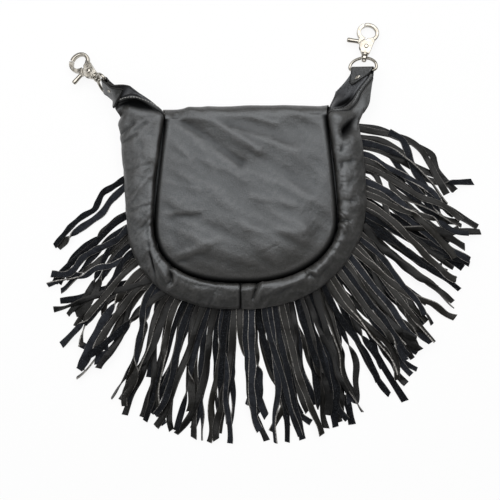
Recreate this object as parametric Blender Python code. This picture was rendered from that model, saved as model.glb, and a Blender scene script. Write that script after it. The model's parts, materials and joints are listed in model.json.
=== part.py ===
"""Leather hip bag lying on its front: a back panel that folds over as the flap, a gathered
gusset whose ends narrow into two ears, two combs of fringe, and two swivel clasps.

X points right and Y towards the fold as one looks down on the bag's back, and Z points up.
The origin is the middle of the flap's outer face, which the bag lies on. Sizes are metres.
"""
import math

import bmesh
import bpy
import numpy as np
from mathutils import Matrix, Vector

# Leather, and the clearance that pieces keep where they meet
LEATHER = 0.0014
FRINGE_LEATHER = 0.0012
TAB_LEATHER = 0.0016
GAP = 0.0003

# Back panel and flap, one piece of leather with a fold at the top
PANEL_HALF_WIDTH = 0.090
PANEL_TOP_HALF_WIDTH = 0.079
PANEL_CORNER_Y = -0.020
PANEL_BOTTOM_Y = -0.082
PANEL_RIM_Z = 0.019
PANEL_CROWN = 0.0095
FOLD_Y = 0.080
FOLD_SLOPE = 0.03
FOLD_RADIUS = 0.010
FLAP_HALF_WIDTH = 0.084
FLAP_CORNER_Y = -0.010
FLAP_BOTTOM_Y = -0.070

# Seam round the front panel, which also holds the gusset, the piping and both combs
SEAM_HALF_WIDTH = 0.113
SEAM_TOP_RIGHT_IN = 0.007
SEAM_TOP_LEFT_OUT = 0.006
SEAM_TOP_Y = 0.074
SEAM_BOTTOM_Y = -0.103
RIGHT_FULLNESS = 2.05
LEFT_FULLNESS = 2.6
FRONT_MARGIN = 0.002
PIPING_RADIUS = 0.0015
PIPING_OUT = 0.004
PIPING_LOW = 0.0011

# Gusset
GUSSET_PUFF = 0.007
GUSSET_BULGE = 0.0056
GUSSET_SET_BACK = 0.0017
BOTTOM_SEAM_X = -0.0055
PUCKER_DEPTH = 0.0011
GUSSET_STATIONS = 17
EAR_WIDTH = 0.024
EAR_FLAT_FROM = 0.023
EAR_END = 0.0045
EAR_PULL = 0.025
RIGHT_EAR_FLARE = 0.013
LEFT_EAR_FLARE = 0.005

# Combs of fringe
HEADER_LIFT = 0.0033
HEADER_INSET = 0.008
HEADER_OUT = 0.003
LEFT_FRINGE_TOP_Y = 0.025
STRAND_WIDTH = 0.0052
STRAND_LENGTH_RIGHT = 0.102
STRAND_LENGTH_BOTTOM = 0.120
STRAND_LENGTH_LEFT = 0.075
STRAND_DROP_RUN = 0.018
STRAND_FLOOR_GAP = 0.00015
LAYER_GAP = 0.0004
UPPER_STRANDS = 54
LOWER_STRANDS = 50
UPPER_HEADINGS = (-20.0, -41.0, -78.0, -107.0, -133.0)
LOWER_HEADINGS = (-32.0, -50.0, -86.0, -118.0, -145.0)

# Snap that holds the flap to the front panel
SNAP_Y = -0.035
SNAP_RADIUS = 0.008
SNAP_SOCKET_HEIGHT = 0.002
SNAP_NUB_RADIUS = 0.0029

# Clasp: eye, post, hook, trigger, rivet and spring, measured from the eye's bar
EYE_WIRE_RADIUS = 0.0015
EYE_SIDE_CLEARANCE = 0.0015
EYE_CORNER = 0.003
EYE_HEIGHT = 0.0125
COLLAR_RADIUS = 0.0036
COLLAR_HEIGHT = 0.0036
POST_RADIUS = 0.0015
POST_HEAD_RADIUS = 0.0023
POST_HEAD_HEIGHT = 0.0022
POST_CLEARANCE = 0.0003
POST_GRIP = 0.0029
NECK_RADIUS = 0.0034
NECK_LENGTH = 0.0023
NECK_CLEARANCE = 0.0004
BODY_THICKNESS = 0.006
BODY_TO_PIVOT = 0.007
CHEEK_RADIUS = 0.0066
PIVOT_TO_RING = 0.0145
RING_HALF_WIDTH = 0.0092
RING_HALF_HEIGHT = 0.0080
RING_WIDTH = 0.0032
RING_THICKNESS = 0.005
WEB_THICKNESS = 0.003
WEB_CLEARANCE = 0.0002
WEB_INSET = 0.00003
HUB_RADIUS = 0.004
LEVER_RADIUS = 0.0024
PIVOT_TO_LEVER = 0.0043
LEVER_ROOT = 0.0078
LEVER_END = 0.0195
PIVOT_RADIUS = 0.001
PIVOT_CLEARANCE = 0.0002
PIVOT_HEAD_RADIUS = 0.0021
PIVOT_HEAD_HEIGHT = 0.0006
SPRING_RADIUS = 0.0021
SPRING_WIRE_RADIUS = 0.00025
SPRING_PITCH = 0.0006
SPRING_TURNS = 2
SPRING_POCKET_DEPTH = 0.0018

# Hanger tab that ties each clasp to its ear, and the rivet through it
TAB_WIDTH = 0.022
TAB_LENGTH = 0.020
TAB_RIVET_X = 0.003
TAB_RIVET_Y = -0.0085
TAB_RIVET_RADIUS = 0.0015
TAB_RIVET_HEAD_LENGTH = 0.0076
TAB_RIVET_HEAD_WIDTH = 0.0036
TAB_RIVET_HEAD_HEIGHT = 0.0009
TAB_RIVET_BACK_RADIUS = 0.003
TAB_RIVET_HEAD_TURN = 37.0

# Where each clasp lies: its bar from the seam's top corner, its height, heading, dip and roll
RIGHT_BAR_ACROSS = 0.0094
RIGHT_BAR_ALONG = 0.0542
RIGHT_BAR_Z = 0.009
RIGHT_LIE = (81.0, 7.0, 28.0)
LEFT_BAR_ACROSS = 0.0187
LEFT_BAR_ALONG = 0.037
LEFT_BAR_Z = 0.016
LEFT_LIE = (137.7, 15.5, 70.0)

# The seam's top corners
SEAM_TOP_RIGHT = SEAM_HALF_WIDTH - SEAM_TOP_RIGHT_IN
SEAM_TOP_LEFT = SEAM_HALF_WIDTH + SEAM_TOP_LEFT_OUT

# Heights that follow from the layers, from the table up
FLAP_Z = LEATHER / 2
LOWER_HEADER_Z = HEADER_LIFT + FRINGE_LEATHER / 2
UPPER_HEADER_Z = LOWER_HEADER_Z + FRINGE_LEATHER + GAP
FRONT_LOW_Z = UPPER_HEADER_Z + FRINGE_LEATHER / 2 + GAP
FRONT_HIGH_Z = FRONT_LOW_Z + LEATHER
SEAM_Z = FRONT_HIGH_Z + GAP + LEATHER / 2
LOWER_STRAND_Z = STRAND_FLOOR_GAP + FRINGE_LEATHER / 2
UPPER_STRAND_Z = LOWER_STRAND_Z + FRINGE_LEATHER + LAYER_GAP
EYE_INNER_HALF = TAB_WIDTH / 2 + EYE_SIDE_CLEARANCE

# Places along the clasp, from the eye's bar
COLLAR_START = EYE_HEIGHT - COLLAR_HEIGHT / 2
NECK_START = COLLAR_START + COLLAR_HEIGHT + NECK_CLEARANCE
POST_END = NECK_START + POST_GRIP
BODY_START = NECK_START + NECK_LENGTH
PIVOT_Y = BODY_START + BODY_TO_PIVOT
RING_Y = PIVOT_Y + PIVOT_TO_RING
LEVER_Y = PIVOT_Y + PIVOT_TO_LEVER
SLOT_HALF = WEB_THICKNESS / 2 + WEB_CLEARANCE

# Layers of the hanger tab, from the eye's bar
TAB_LEG = LEATHER / 2 + GAP + TAB_LEATHER / 2
TAB_WRAP = EYE_WIRE_RADIUS + GAP + TAB_LEATHER / 2
TAB_FACE = TAB_LEG + TAB_LEATHER / 2

# The gusset across its width: share of the way from panel to seam, share of the bulge beyond
# that, share of the height from seam to panel rim, and share of the puff above the rim
GUSSET_PROFILE = (
    (0.0, 0.0, 0.96, 0.0),
    (0.0, 0.1, 1.0, 0.5),
    (0.0, 0.8, 1.0, 1.0),
    (0.45, 0.0, 1.0, 1.0),
    (0.8, 0.0, 1.0, 0.43),
    (1.0, 0.9, 0.8, 0.0),
    (1.0, 1.0, 0.42, 0.0),
    (1.0, 0.75, 0.17, 0.0),
    (1.0, 0.0, 0.0, 0.0),
)

# Turns that lay a Z axis along Y or along X
ALONG_Y = Matrix.Rotation(math.radians(-90), 4, "X")
ALONG_X = Matrix.Rotation(math.radians(90), 4, "Y")


def clear_scene():
    for item in list(bpy.data.objects):
        bpy.data.objects.remove(item, do_unlink=True)


def finish(name, colour, roughness, metallic):
    """A Principled material of one colour."""
    material = bpy.data.materials.new(name)
    material.use_nodes = True
    shader = material.node_tree.nodes["Principled BSDF"]
    shader.inputs["Base Color"].default_value = (*colour, 1.0)
    shader.inputs["Roughness"].default_value = roughness
    shader.inputs["Metallic"].default_value = metallic
    return material


def place(item, holder, world):
    """Puts the object at a world matrix, under its holder if it has one."""
    bpy.context.scene.collection.objects.link(item)
    if holder is None:
        item.matrix_local = world
        return
    item.parent = holder
    item.matrix_local = holder.matrix_world.inverted() @ world


def axis_empty(name, world, holder=None):
    """An empty on a joint's axis, which the joint's pieces are parented to."""
    empty = bpy.data.objects.new(name, None)
    empty.empty_display_size = LEVER_END
    place(empty, holder, world)
    bpy.context.view_layer.update()
    return empty


def mesh_object(name, vertices, faces, material, holder=None, closed=True):
    """An object from points and faces. A closed one has its faces turned outwards."""
    mesh = bpy.data.meshes.new(name)
    mesh.from_pydata([tuple(map(float, point)) for point in vertices], [], faces)
    if closed:
        work = bmesh.new()
        work.from_mesh(mesh)
        bmesh.ops.recalc_face_normals(work, faces=work.faces)
        work.to_mesh(mesh)
        work.free()
    mesh.materials.append(material)
    mesh.shade_smooth()
    mesh.set_sharp_from_angle(angle=math.radians(40))
    item = bpy.data.objects.new(name, mesh)
    place(item, holder, holder.matrix_world.copy() if holder else Matrix())
    return item


def sheet_object(name, grid, thickness, material, holder=None):
    """A sheet of leather from a grid of points on its middle surface."""
    rows, columns = grid.shape[:2]
    faces = grid_faces(rows, columns)
    item = mesh_object(name, grid.reshape(-1, 3), faces, material, holder, closed=False)
    thicken(item, thickness)
    return item


def thicken(item, thickness):
    solidify = item.modifiers.new("leather", "SOLIDIFY")
    solidify.thickness = thickness
    solidify.offset = 0.0


def boolean(item, other, operation):
    """Joins another object to this one, or cuts it away, and hides the other."""
    modifier = item.modifiers.new(other.name, "BOOLEAN")
    modifier.operation = operation
    modifier.object = other
    other.hide_render = True
    other.display_type = "WIRE"


def grid_faces(rows, columns, wrap_rows=False, wrap_columns=False):
    """The quads of a grid of points, joined end to end where asked."""
    faces = []
    for row in range(rows if wrap_rows else rows - 1):
        for column in range(columns if wrap_columns else columns - 1):
            next_row = (row + 1) % rows
            next_column = (column + 1) % columns
            faces.append(
                (
                    row * columns + column,
                    row * columns + next_column,
                    next_row * columns + next_column,
                    next_row * columns + column,
                )
            )
    return faces


def swept(name, path, section, material, holder, loop=False):
    """A section carried along a flat path: its first axis lies across the path, its second along Z."""
    path = np.asarray(path)
    if loop:
        ahead = np.roll(path, -1, axis=0) - np.roll(path, 1, axis=0)
    else:
        ahead = np.gradient(path, axis=0)
    across = np.stack([ahead[:, 1], -ahead[:, 0], np.zeros(len(path))], axis=1)
    across /= np.linalg.norm(across, axis=1, keepdims=True)
    points = path[:, None] + across[:, None] * section[None, :, :1]
    points[:, :, 2] += section[None, :, 1]
    rows, columns = points.shape[:2]
    faces = grid_faces(rows, columns, wrap_rows=loop, wrap_columns=True)
    if not loop:
        faces.append(tuple(range(columns)))
        faces.append(tuple(range((rows - 1) * columns, rows * columns)))
    return mesh_object(name, points.reshape(-1, 3), faces, material, holder)


def turned(name, profile, sides, material, holder=None, turn=Matrix(), centre=(0.0, 0.0, 0.0), ring=False):
    """A profile of (radius, height) turned about Z, then turned and moved.

    It is closed by flat caps at its two ends, or, as a ring, by joining them.
    """
    angles = np.arange(sides) * 2 * math.pi / sides
    around = np.stack([np.cos(angles), np.sin(angles), np.zeros(sides)], axis=1)
    profile = np.asarray(profile)
    points = profile[:, None, :1] * around[None]
    points[:, :, 2] = profile[:, None, 1]
    faces = grid_faces(len(profile), sides, wrap_rows=ring, wrap_columns=True)
    if not ring:
        faces.append(tuple(range(sides)))
        faces.append(tuple(range((len(profile) - 1) * sides, len(profile) * sides)))
    matrix = Matrix.Translation(centre) @ turn
    points = [matrix @ Vector(point) for point in points.reshape(-1, 3)]
    return mesh_object(name, points, faces, material, holder)


def rod(name, radius, low, high, sides, material, holder, turn=Matrix(), centre=(0.0, 0.0, 0.0)):
    """A plain cylinder along Z, from low to high, then turned and moved."""
    return turned(name, ((radius, low), (radius, high)), sides, material, holder, turn, centre)


def plate(name, outline, low, high, material, holder=None):
    """A flat outline with a thickness along Z."""
    count = len(outline)
    points = [(x, y, low) for x, y in outline] + [(x, y, high) for x, y in outline]
    faces = [(i, (i + 1) % count, (i + 1) % count + count, i + count) for i in range(count)]
    faces.append(tuple(range(count)))
    faces.append(tuple(range(count, 2 * count)))
    return mesh_object(name, points, faces, material, holder)


def arc(half_width, half_height, start, end, count, centre_y=0.0):
    """Points of an ellipse about (0, centre_y), between two angles in degrees."""
    angles = np.radians(np.linspace(start, end, count))
    return np.stack([half_width * np.cos(angles), centre_y + half_height * np.sin(angles)], axis=1)


def circle_section(radius, sides):
    return arc(radius, radius, 0.0, 360.0 - 360.0 / sides, sides)


def rounded_section(width, height, rounding=0.25):
    """An eight-cornered section: a rectangle with its corners cut."""
    x, y = width / 2, height / 2
    cut = rounding * min(width, height)
    corners = ((x, y - cut), (x - cut, y), (cut - x, y), (-x, y - cut))
    lower = ((-x, cut - y), (cut - x, -y), (x - cut, -y), (x, cut - y))
    return np.array(corners + lower)


def evenly(curve, shares):
    """Points at equal shares of a curve's length."""
    steps = np.linalg.norm(np.diff(curve, axis=0), axis=1)
    along = np.concatenate([[0.0], np.cumsum(steps)])
    wanted = np.asarray(shares) * along[-1]
    return np.stack([np.interp(wanted, along, curve[:, axis]) for axis in (0, 1)], axis=1)


def side_curve(half_width, top_half_width, corner_y, bottom_y, top_y, fullness, offset):
    """One side of a U, from its lowest point round a superellipse corner and up to its top."""
    angle = np.linspace(0.0, math.pi / 2, 120)
    corner_x = half_width * np.sin(angle) ** (2 / fullness)
    corner = corner_y + (bottom_y - corner_y) * np.cos(angle) ** (2 / fullness)
    rise = np.linspace(0.0, 1.0, 60)[1:]
    side_x = half_width + (top_half_width - half_width) * rise**1.5
    side = corner_y + (top_y - corner_y) * rise
    curve = np.stack([np.append(corner_x, side_x), np.append(corner, side)], axis=1)
    curve = evenly(curve, np.linspace(0.0, 1.0, 200))
    ahead = np.gradient(curve, axis=0)
    outward = np.stack([ahead[:, 1], -ahead[:, 0]], axis=1)
    outward[0] = (0.0, -1.0)
    return curve + offset * outward / np.linalg.norm(outward, axis=1, keepdims=True)


def panel_side(side, shares, offset=0.0):
    """Points on the back panel's edge, from the bottom centre to the fold."""
    curve = side_curve(
        PANEL_HALF_WIDTH,
        PANEL_TOP_HALF_WIDTH,
        PANEL_CORNER_Y,
        PANEL_BOTTOM_Y,
        FOLD_Y,
        RIGHT_FULLNESS if side > 0 else LEFT_FULLNESS,
        offset,
    )
    return evenly(curve, shares) * (side, 1)


def seam_side(side, shares, offset=0.0):
    """Points on the front seam, from the bottom centre to the top corner."""
    curve = side_curve(
        SEAM_HALF_WIDTH,
        SEAM_TOP_RIGHT if side > 0 else SEAM_TOP_LEFT,
        0.0,
        SEAM_BOTTOM_Y,
        SEAM_TOP_Y,
        RIGHT_FULLNESS if side > 0 else LEFT_FULLNESS,
        offset,
    )
    return evenly(curve, shares) * (side, 1)


def whole_seam(count, offset=0.0):
    """The front seam from the right top corner, round the bottom, to the left top corner."""
    right = seam_side(1, np.linspace(1.0, 0.0, count), offset)
    left = seam_side(-1, np.linspace(0.0, 1.0, count), offset)
    return np.concatenate([right, left[1:]])


def u_rows(edge, top_half_width, shares):
    """Rows of points that change from a U-shaped edge into the straight line of the fold."""
    x = np.linspace(-top_half_width, top_half_width, len(edge))
    line = np.stack([x, FOLD_Y + FOLD_SLOPE * x], axis=1)
    return [edge * (1 - share) + line * share for share in shares]


def back_panel_and_flap(material):
    """Crowned back panel, the round fold at its top, and the flat flap under the bag."""
    half = 6
    across = np.linspace(-1.0, 1.0, 2 * half + 1)
    # The straight sides of the U are left to the rows, so the first row stops at the corners
    corner = corner_row(panel_side, PANEL_CORNER_Y, half)
    fold_top_z = FLAP_Z + 2 * FOLD_RADIUS
    rows = []
    heights = np.linspace(0.0, 1.0, 9)
    for share, points in zip(heights, u_rows(corner, PANEL_TOP_HALF_WIDTH, heights)):
        rim = PANEL_RIM_Z + (fold_top_z - PANEL_RIM_Z) * share
        crown = PANEL_CROWN * (1 - across**2) * math.sin(math.pi * share**0.8) ** 0.7
        rows.append(np.column_stack([points, rim + crown]))
    for angle in np.radians((60.0, 30.0, 0.0, -30.0, -60.0)):
        y = FOLD_Y + FOLD_RADIUS * math.cos(angle)
        z = FLAP_Z + FOLD_RADIUS + FOLD_RADIUS * math.sin(angle)
        widen = (1 - math.sin(angle)) / 2
        x = across * (PANEL_TOP_HALF_WIDTH + (FLAP_HALF_WIDTH - PANEL_TOP_HALF_WIDTH) * widen)
        rows.append(np.column_stack([x, y + FOLD_SLOPE * x, np.full_like(x, z)]))
    flap_edge = corner_row(flap_side, FLAP_CORNER_Y, half)
    for points in u_rows(flap_edge, FLAP_HALF_WIDTH, np.linspace(1.0, 0.0, 5)):
        rows.append(np.column_stack([points, np.full_like(across, FLAP_Z)]))
    return sheet_object("back_panel_and_flap", np.array(rows), LEATHER, material)


def flap_side(side, shares, offset=0.0):
    """Points on the flap's edge, from the bottom centre to the fold."""
    curve = side_curve(
        FLAP_HALF_WIDTH, FLAP_HALF_WIDTH, FLAP_CORNER_Y, FLAP_BOTTOM_Y, FOLD_Y, RIGHT_FULLNESS, offset
    )
    return evenly(curve, shares) * (side, 1)


def corner_row(side_points, corner_y, half):
    """The round part of a U's edge, from its left corner to its right one."""
    row = []
    for side in (-1, 1):
        dense = side_points(side, np.linspace(0.0, 1.0, 400))
        round_part = dense[dense[:, 1] <= corner_y]
        points = evenly(round_part, np.linspace(0.0, 1.0, half + 1))
        row.append(points[::-1] if side < 0 else points[1:])
    return np.concatenate(row)


def front_panel(material):
    """Flat front panel, which the flap covers, with a straight edge at the bag's mouth."""
    outline = whole_seam(24, FRONT_MARGIN)
    return plate("front_panel", outline, FRONT_LOW_Z, FRONT_HIGH_Z, material)


def seam_piping(material):
    """Thin cord sewn into the seam, outside the front panel's edge."""
    path = whole_seam(19, PIPING_OUT)
    path = np.column_stack([path, np.full(len(path), SEAM_Z - PIPING_LOW)])
    return swept("seam_piping", path, circle_section(PIPING_RADIUS, 5), material, None)


def gusset_half(name, side, clasp, material):
    """Half of the puffed gusset, from the bottom seam up its side, ending in a flat ear."""
    shares = np.linspace(0.0, 1.0, GUSSET_STATIONS)
    inner = panel_side(side, shares, GUSSET_SET_BACK)
    outer = seam_side(side, shares)
    for line in (inner, outer):
        line[0, 0] = BOTTOM_SEAM_X + side * GAP / 2
    outward = (outer - inner) / np.linalg.norm(outer - inner, axis=1, keepdims=True)
    table = np.array(GUSSET_PROFILE)
    lane = np.linspace(0.0, 1.0, len(table))
    wave = np.sin(2 * math.pi * (7.3 * shares[:, None] + 0.9 * lane)) * np.sin(math.pi * lane)
    wave[0] = 0.0
    beyond = table[:, 1] * GUSSET_BULGE + PUCKER_DEPTH * wave
    flat = inner[:, None] + table[:, 0, None] * (outer - inner)[:, None]
    flat += beyond[..., None] * outward[:, None]
    height = SEAM_Z + table[:, 2] * (PANEL_RIM_Z - SEAM_Z) + table[:, 3] * GUSSET_PUFF
    rows = list(np.concatenate([flat, (height + PUCKER_DEPTH * wave)[..., None]], axis=2))
    rows += ear_rows(rows[-1], side, clasp)
    item = sheet_object(name, np.array(rows), LEATHER, material)
    boolean(item, rivet_cutter(name + "_rivet_hole", side, clasp, material), "DIFFERENCE")
    return item


def ear_rows(section, side, clasp):
    """Rows that carry the gusset's end section over into the flat ear at the clasp's tab.

    The ear's edge nearer the bag's middle flares away from the tab.
    """
    lane = np.linspace(0.5, -0.5, len(section)) * -side
    flare = RIGHT_EAR_FLARE if side > 0 else LEFT_EAR_FLARE
    across, along = (np.array(clasp["eye"].matrix_world.col[axis][:3]) for axis in (0, 1))
    bar = np.array(clasp["eye"].matrix_world.col[3][:3])
    flat = []
    for share in (1.0, 0.5, 0.0):
        reach = EAR_END + (EAR_FLAT_FROM - EAR_END) * share
        width = EAR_WIDTH * lane - side * flare * share**1.3 * np.linspace(1.0, 0.0, len(section))
        flat.append(bar - reach * along + width[:, None] * across)
    rows = []
    for share in (0.2, 0.4, 0.6, 0.8):
        start_weight = 2 * share**3 - 3 * share**2 + 1
        start_pull = share**3 - 2 * share**2 + share
        end_pull = share**3 - share**2
        leave = np.array((0.0, EAR_PULL, 0.0)) * start_pull
        arrive = along * EAR_PULL * end_pull
        rows.append(section * start_weight + flat[0] * (1 - start_weight) + leave + arrive)
    return rows + flat


def rivet_cutter(name, side, clasp, material):
    """A round cutter through both legs of the tab and the ear between them."""
    radius = TAB_RIVET_RADIUS + GAP
    centre = (-side * TAB_RIVET_X, TAB_RIVET_Y, 0.0)
    return rod(name, radius, -3 * TAB_FACE, 3 * TAB_FACE, 10, material, clasp["eye"], centre=centre)


def fringe_comb(name, strands, header_z, floor_z, headings, seed, material):
    """A strip sewn under the gusset and cut outside the seam into strands that fan out on the table.

    Each strand leaves square to the seam, drops to the table over a fixed run, and bends on
    towards its heading. Headings are degrees at equal steps from the right top to the left.
    """
    chance = np.random.default_rng(seed)
    seam = whole_seam(400)
    seam = seam[: np.argmax((seam[:, 0] < 0) & (seam[:, 1] > LEFT_FRINGE_TOP_Y))]
    length = np.linalg.norm(np.diff(seam, axis=0), axis=1).sum()
    middles = (np.arange(strands) + 0.5) / strands
    half_share = STRAND_WIDTH / length / 2
    shares = np.stack([middles - half_share, middles + half_share], axis=1).ravel()
    edge = evenly(seam, shares)
    ahead = evenly(seam, shares + half_share / 4) - evenly(seam, shares - half_share / 4)
    outward = np.stack([-ahead[:, 1], ahead[:, 0]], axis=1)
    outward /= np.linalg.norm(outward, axis=1, keepdims=True)
    inner = edge - HEADER_INSET * outward
    outer = edge + HEADER_OUT * outward
    vertices = [(x, y, header_z) for x, y in inner] + [(x, y, header_z) for x, y in outer]
    columns = 2 * strands
    faces = [(i, i + 1, columns + i + 1, columns + i) for i in range(columns - 1)]
    lengths = (STRAND_LENGTH_RIGHT, STRAND_LENGTH_BOTTOM, STRAND_LENGTH_LEFT)
    for index, share in enumerate(middles):
        root = (outer[2 * index] + outer[2 * index + 1]) / 2
        square = math.atan2(*outward[2 * index : 2 * index + 2].mean(axis=0)[::-1])
        heading = math.radians(np.interp(share, np.linspace(0.0, 1.0, len(headings)), headings))
        turn = (heading - square + math.pi) % (2 * math.pi) - math.pi
        reach = np.interp(share, (0.0, 0.5, 1.0), lengths) * (1 + 0.08 * chance.uniform(-1, 1))
        bends = np.array((0.35, 0.8, 1.1)) * turn + np.radians(2.0) * chance.uniform(-1, 1, 3)
        directions = square + bends
        steps = np.array((STRAND_DROP_RUN / math.cos(bends[0]), reach / 2, reach / 2))
        moves = np.stack([np.cos(directions), np.sin(directions)], axis=1)
        centres = root + np.cumsum(moves * steps[:, None], axis=0)
        facing = np.append((directions[:-1] + directions[1:]) / 2, directions[-1])
        sideways = np.stack([np.sin(facing), -np.cos(facing)], axis=1) * STRAND_WIDTH / 2
        last = (columns + 2 * index, columns + 2 * index + 1)
        for centre, offset in zip(centres, sideways):
            first = len(vertices)
            vertices += [(*(centre - offset), floor_z), (*(centre + offset), floor_z)]
            faces.append((last[0], last[1], first + 1, first))
            last = (first, first + 1)
    item = mesh_object(name, vertices, faces, material, closed=False)
    thicken(item, FRINGE_LEATHER)
    return item


def snap(material):
    """Socket on the flap, and the stud on the front panel whose nub drops into it."""
    low = LEATHER + GAP
    high = low + SNAP_SOCKET_HEIGHT
    bore = SNAP_NUB_RADIUS + GAP
    centre = (0.0, SNAP_Y, 0.0)
    socket = ((bore, low), (SNAP_RADIUS, low), (SNAP_RADIUS, high), (bore, high))
    turned("snap_socket", socket, 14, material, centre=centre, ring=True)
    stud = (
        (SNAP_NUB_RADIUS * 0.7, low + GAP),
        (SNAP_NUB_RADIUS, low + 2 * GAP),
        (SNAP_NUB_RADIUS, high + GAP),
        (SNAP_RADIUS * 0.8, high + GAP),
        (SNAP_RADIUS * 0.8, FRONT_LOW_Z - GAP),
    )
    turned("snap_stud", stud, 14, material, centre=centre)


def clasp_axes(side, side_name):
    """The empties on a clasp's three joint axes: the eye's bar, the swivel and the trigger's pivot."""
    if side > 0:
        bar = Vector((SEAM_TOP_RIGHT + RIGHT_BAR_ACROSS, SEAM_TOP_Y + RIGHT_BAR_ALONG, RIGHT_BAR_Z))
        heading, dip, roll = (math.radians(angle) for angle in RIGHT_LIE)
    else:
        bar = Vector((-SEAM_TOP_LEFT - LEFT_BAR_ACROSS, SEAM_TOP_Y + LEFT_BAR_ALONG, LEFT_BAR_Z))
        heading, dip, roll = (math.radians(angle) for angle in LEFT_LIE)
    along = Vector((math.cos(dip) * math.cos(heading), math.cos(dip) * math.sin(heading), -math.sin(dip)))
    level = Vector((math.sin(heading), -math.cos(heading), 0.0))
    lift = level.cross(along)
    across = math.cos(roll) * level + math.sin(roll) * lift
    eye = axis_empty("eye_axis_" + side_name, frame_matrix(across, along, bar))
    swivel = axis_empty("swivel_axis_" + side_name, frame_matrix(level, along, bar), eye)
    pivot = axis_empty(
        "trigger_axis_" + side_name, frame_matrix(level, along, bar + PIVOT_Y * along), swivel
    )
    return {"eye": eye, "swivel": swivel, "pivot": pivot}


def frame_matrix(x_axis, y_axis, origin):
    z_axis = x_axis.cross(y_axis)
    matrix = Matrix((x_axis, y_axis, z_axis)).transposed().to_4x4()
    matrix.translation = origin
    return matrix


def swivel_eye(side_name, holder, material):
    """D-shaped wire eye with a bored collar at its top."""
    half = EYE_INNER_HALF + EYE_WIRE_RADIUS
    bar = np.array([(-half + EYE_CORNER, 0.0), (half - EYE_CORNER, 0.0)])
    corner = arc(EYE_CORNER, EYE_CORNER, -90.0, 0.0, 4)[1:] + (half - EYE_CORNER, EYE_CORNER)
    arch = arc(half, EYE_HEIGHT - EYE_CORNER, 0.0, 180.0, 13, EYE_CORNER)[1:-1]
    path = np.concatenate([bar, corner, arch, (corner * (-1, 1))[::-1]])
    path = np.column_stack([path, np.zeros(len(path))])
    name = "swivel_eye_" + side_name
    eye = swept(name, path, circle_section(EYE_WIRE_RADIUS, 8), material, holder, loop=True)
    collar = (
        (COLLAR_RADIUS * 0.86, COLLAR_START),
        (COLLAR_RADIUS, COLLAR_START + COLLAR_HEIGHT * 0.2),
        (COLLAR_RADIUS, COLLAR_START + COLLAR_HEIGHT * 0.8),
        (COLLAR_RADIUS * 0.86, COLLAR_START + COLLAR_HEIGHT),
    )
    boolean(eye, turned(name + "_collar", collar, 12, material, holder, ALONG_Y), "UNION")
    bore = POST_RADIUS + POST_CLEARANCE
    hole = rod(name + "_bore", bore, COLLAR_START / 2, NECK_START, 12, material, holder, ALONG_Y)
    boolean(eye, hole, "DIFFERENCE")
    return eye


def swivel_post(side_name, holder, material):
    """Headed post: its head sits inside the eye, and its shank turns in the collar."""
    head_end = COLLAR_START - GAP
    head = head_end - POST_HEAD_HEIGHT
    profile = (
        (POST_HEAD_RADIUS * 0.45, head),
        (POST_HEAD_RADIUS * 0.88, head + POST_HEAD_HEIGHT * 0.25),
        (POST_HEAD_RADIUS, head + POST_HEAD_HEIGHT * 0.6),
        (POST_HEAD_RADIUS * 0.92, head_end),
        (POST_RADIUS, head_end),
        (POST_RADIUS, POST_END),
    )
    return turned("swivel_post_" + side_name, profile, 10, material, holder, ALONG_Y)


def hook_body(side_name, holder, material):
    """Cast body: neck, two cheeks with a slot for the trigger, and the fixed side of the ring."""
    name = "hook_body_" + side_name
    in_width = RING_HALF_WIDTH - RING_WIDTH / 2
    in_height = RING_HALF_HEIGHT - RING_WIDTH / 2
    outline = np.concatenate(
        [
            [(NECK_RADIUS * 1.25, BODY_START)],
            [(CHEEK_RADIUS * 0.9, PIVOT_Y)],
            [(RING_HALF_WIDTH * 0.83, RING_Y - RING_HALF_HEIGHT)],
            arc(in_width, in_height, -42.0, -86.0, 4, RING_Y),
            arc(CHEEK_RADIUS, CHEEK_RADIUS, 100.0, 215.0, 8, PIVOT_Y),
            [(-NECK_RADIUS * 1.1, BODY_START)],
        ]
    )
    half = BODY_THICKNESS / 2
    body = plate(name, outline, -half, half, material, holder)
    ring = arc(RING_HALF_WIDTH, RING_HALF_HEIGHT, -62.0, 114.0, 14, RING_Y)
    ring = np.column_stack([ring, np.zeros(len(ring))])
    section = rounded_section(RING_WIDTH, RING_THICKNESS)
    boolean(body, swept(name + "_ring", ring, section, material, holder), "UNION")
    neck = (
        (NECK_RADIUS * 0.85, NECK_START),
        (NECK_RADIUS, NECK_START + NECK_RADIUS * 0.2),
        (NECK_RADIUS, BODY_START + NECK_RADIUS * 0.3),
        (NECK_RADIUS * 0.8, BODY_START + NECK_RADIUS * 0.6),
    )
    boolean(body, turned(name + "_neck", neck, 12, material, holder, ALONG_Y), "UNION")
    bore = POST_RADIUS + GAP / 3
    hole = rod(name + "_bore", bore, COLLAR_START, POST_END + GAP, 12, material, holder, ALONG_Y)
    boolean(body, hole, "DIFFERENCE")
    slot = (
        (-2 * CHEEK_RADIUS, PIVOT_Y - HUB_RADIUS - GAP),
        (HUB_RADIUS + GAP, PIVOT_Y - HUB_RADIUS - GAP),
        (HUB_RADIUS + GAP, RING_Y),
        (-2 * CHEEK_RADIUS, RING_Y),
    )
    boolean(body, plate(name + "_slot", slot, -SLOT_HALF, SLOT_HALF, material, holder), "DIFFERENCE")
    pin = PIVOT_RADIUS + PIVOT_CLEARANCE
    centre = (0.0, PIVOT_Y, 0.0)
    hole = rod(name + "_pin", pin, -2 * half, 2 * half, 10, material, holder, centre=centre)
    boolean(body, hole, "DIFFERENCE")
    return body


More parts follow.
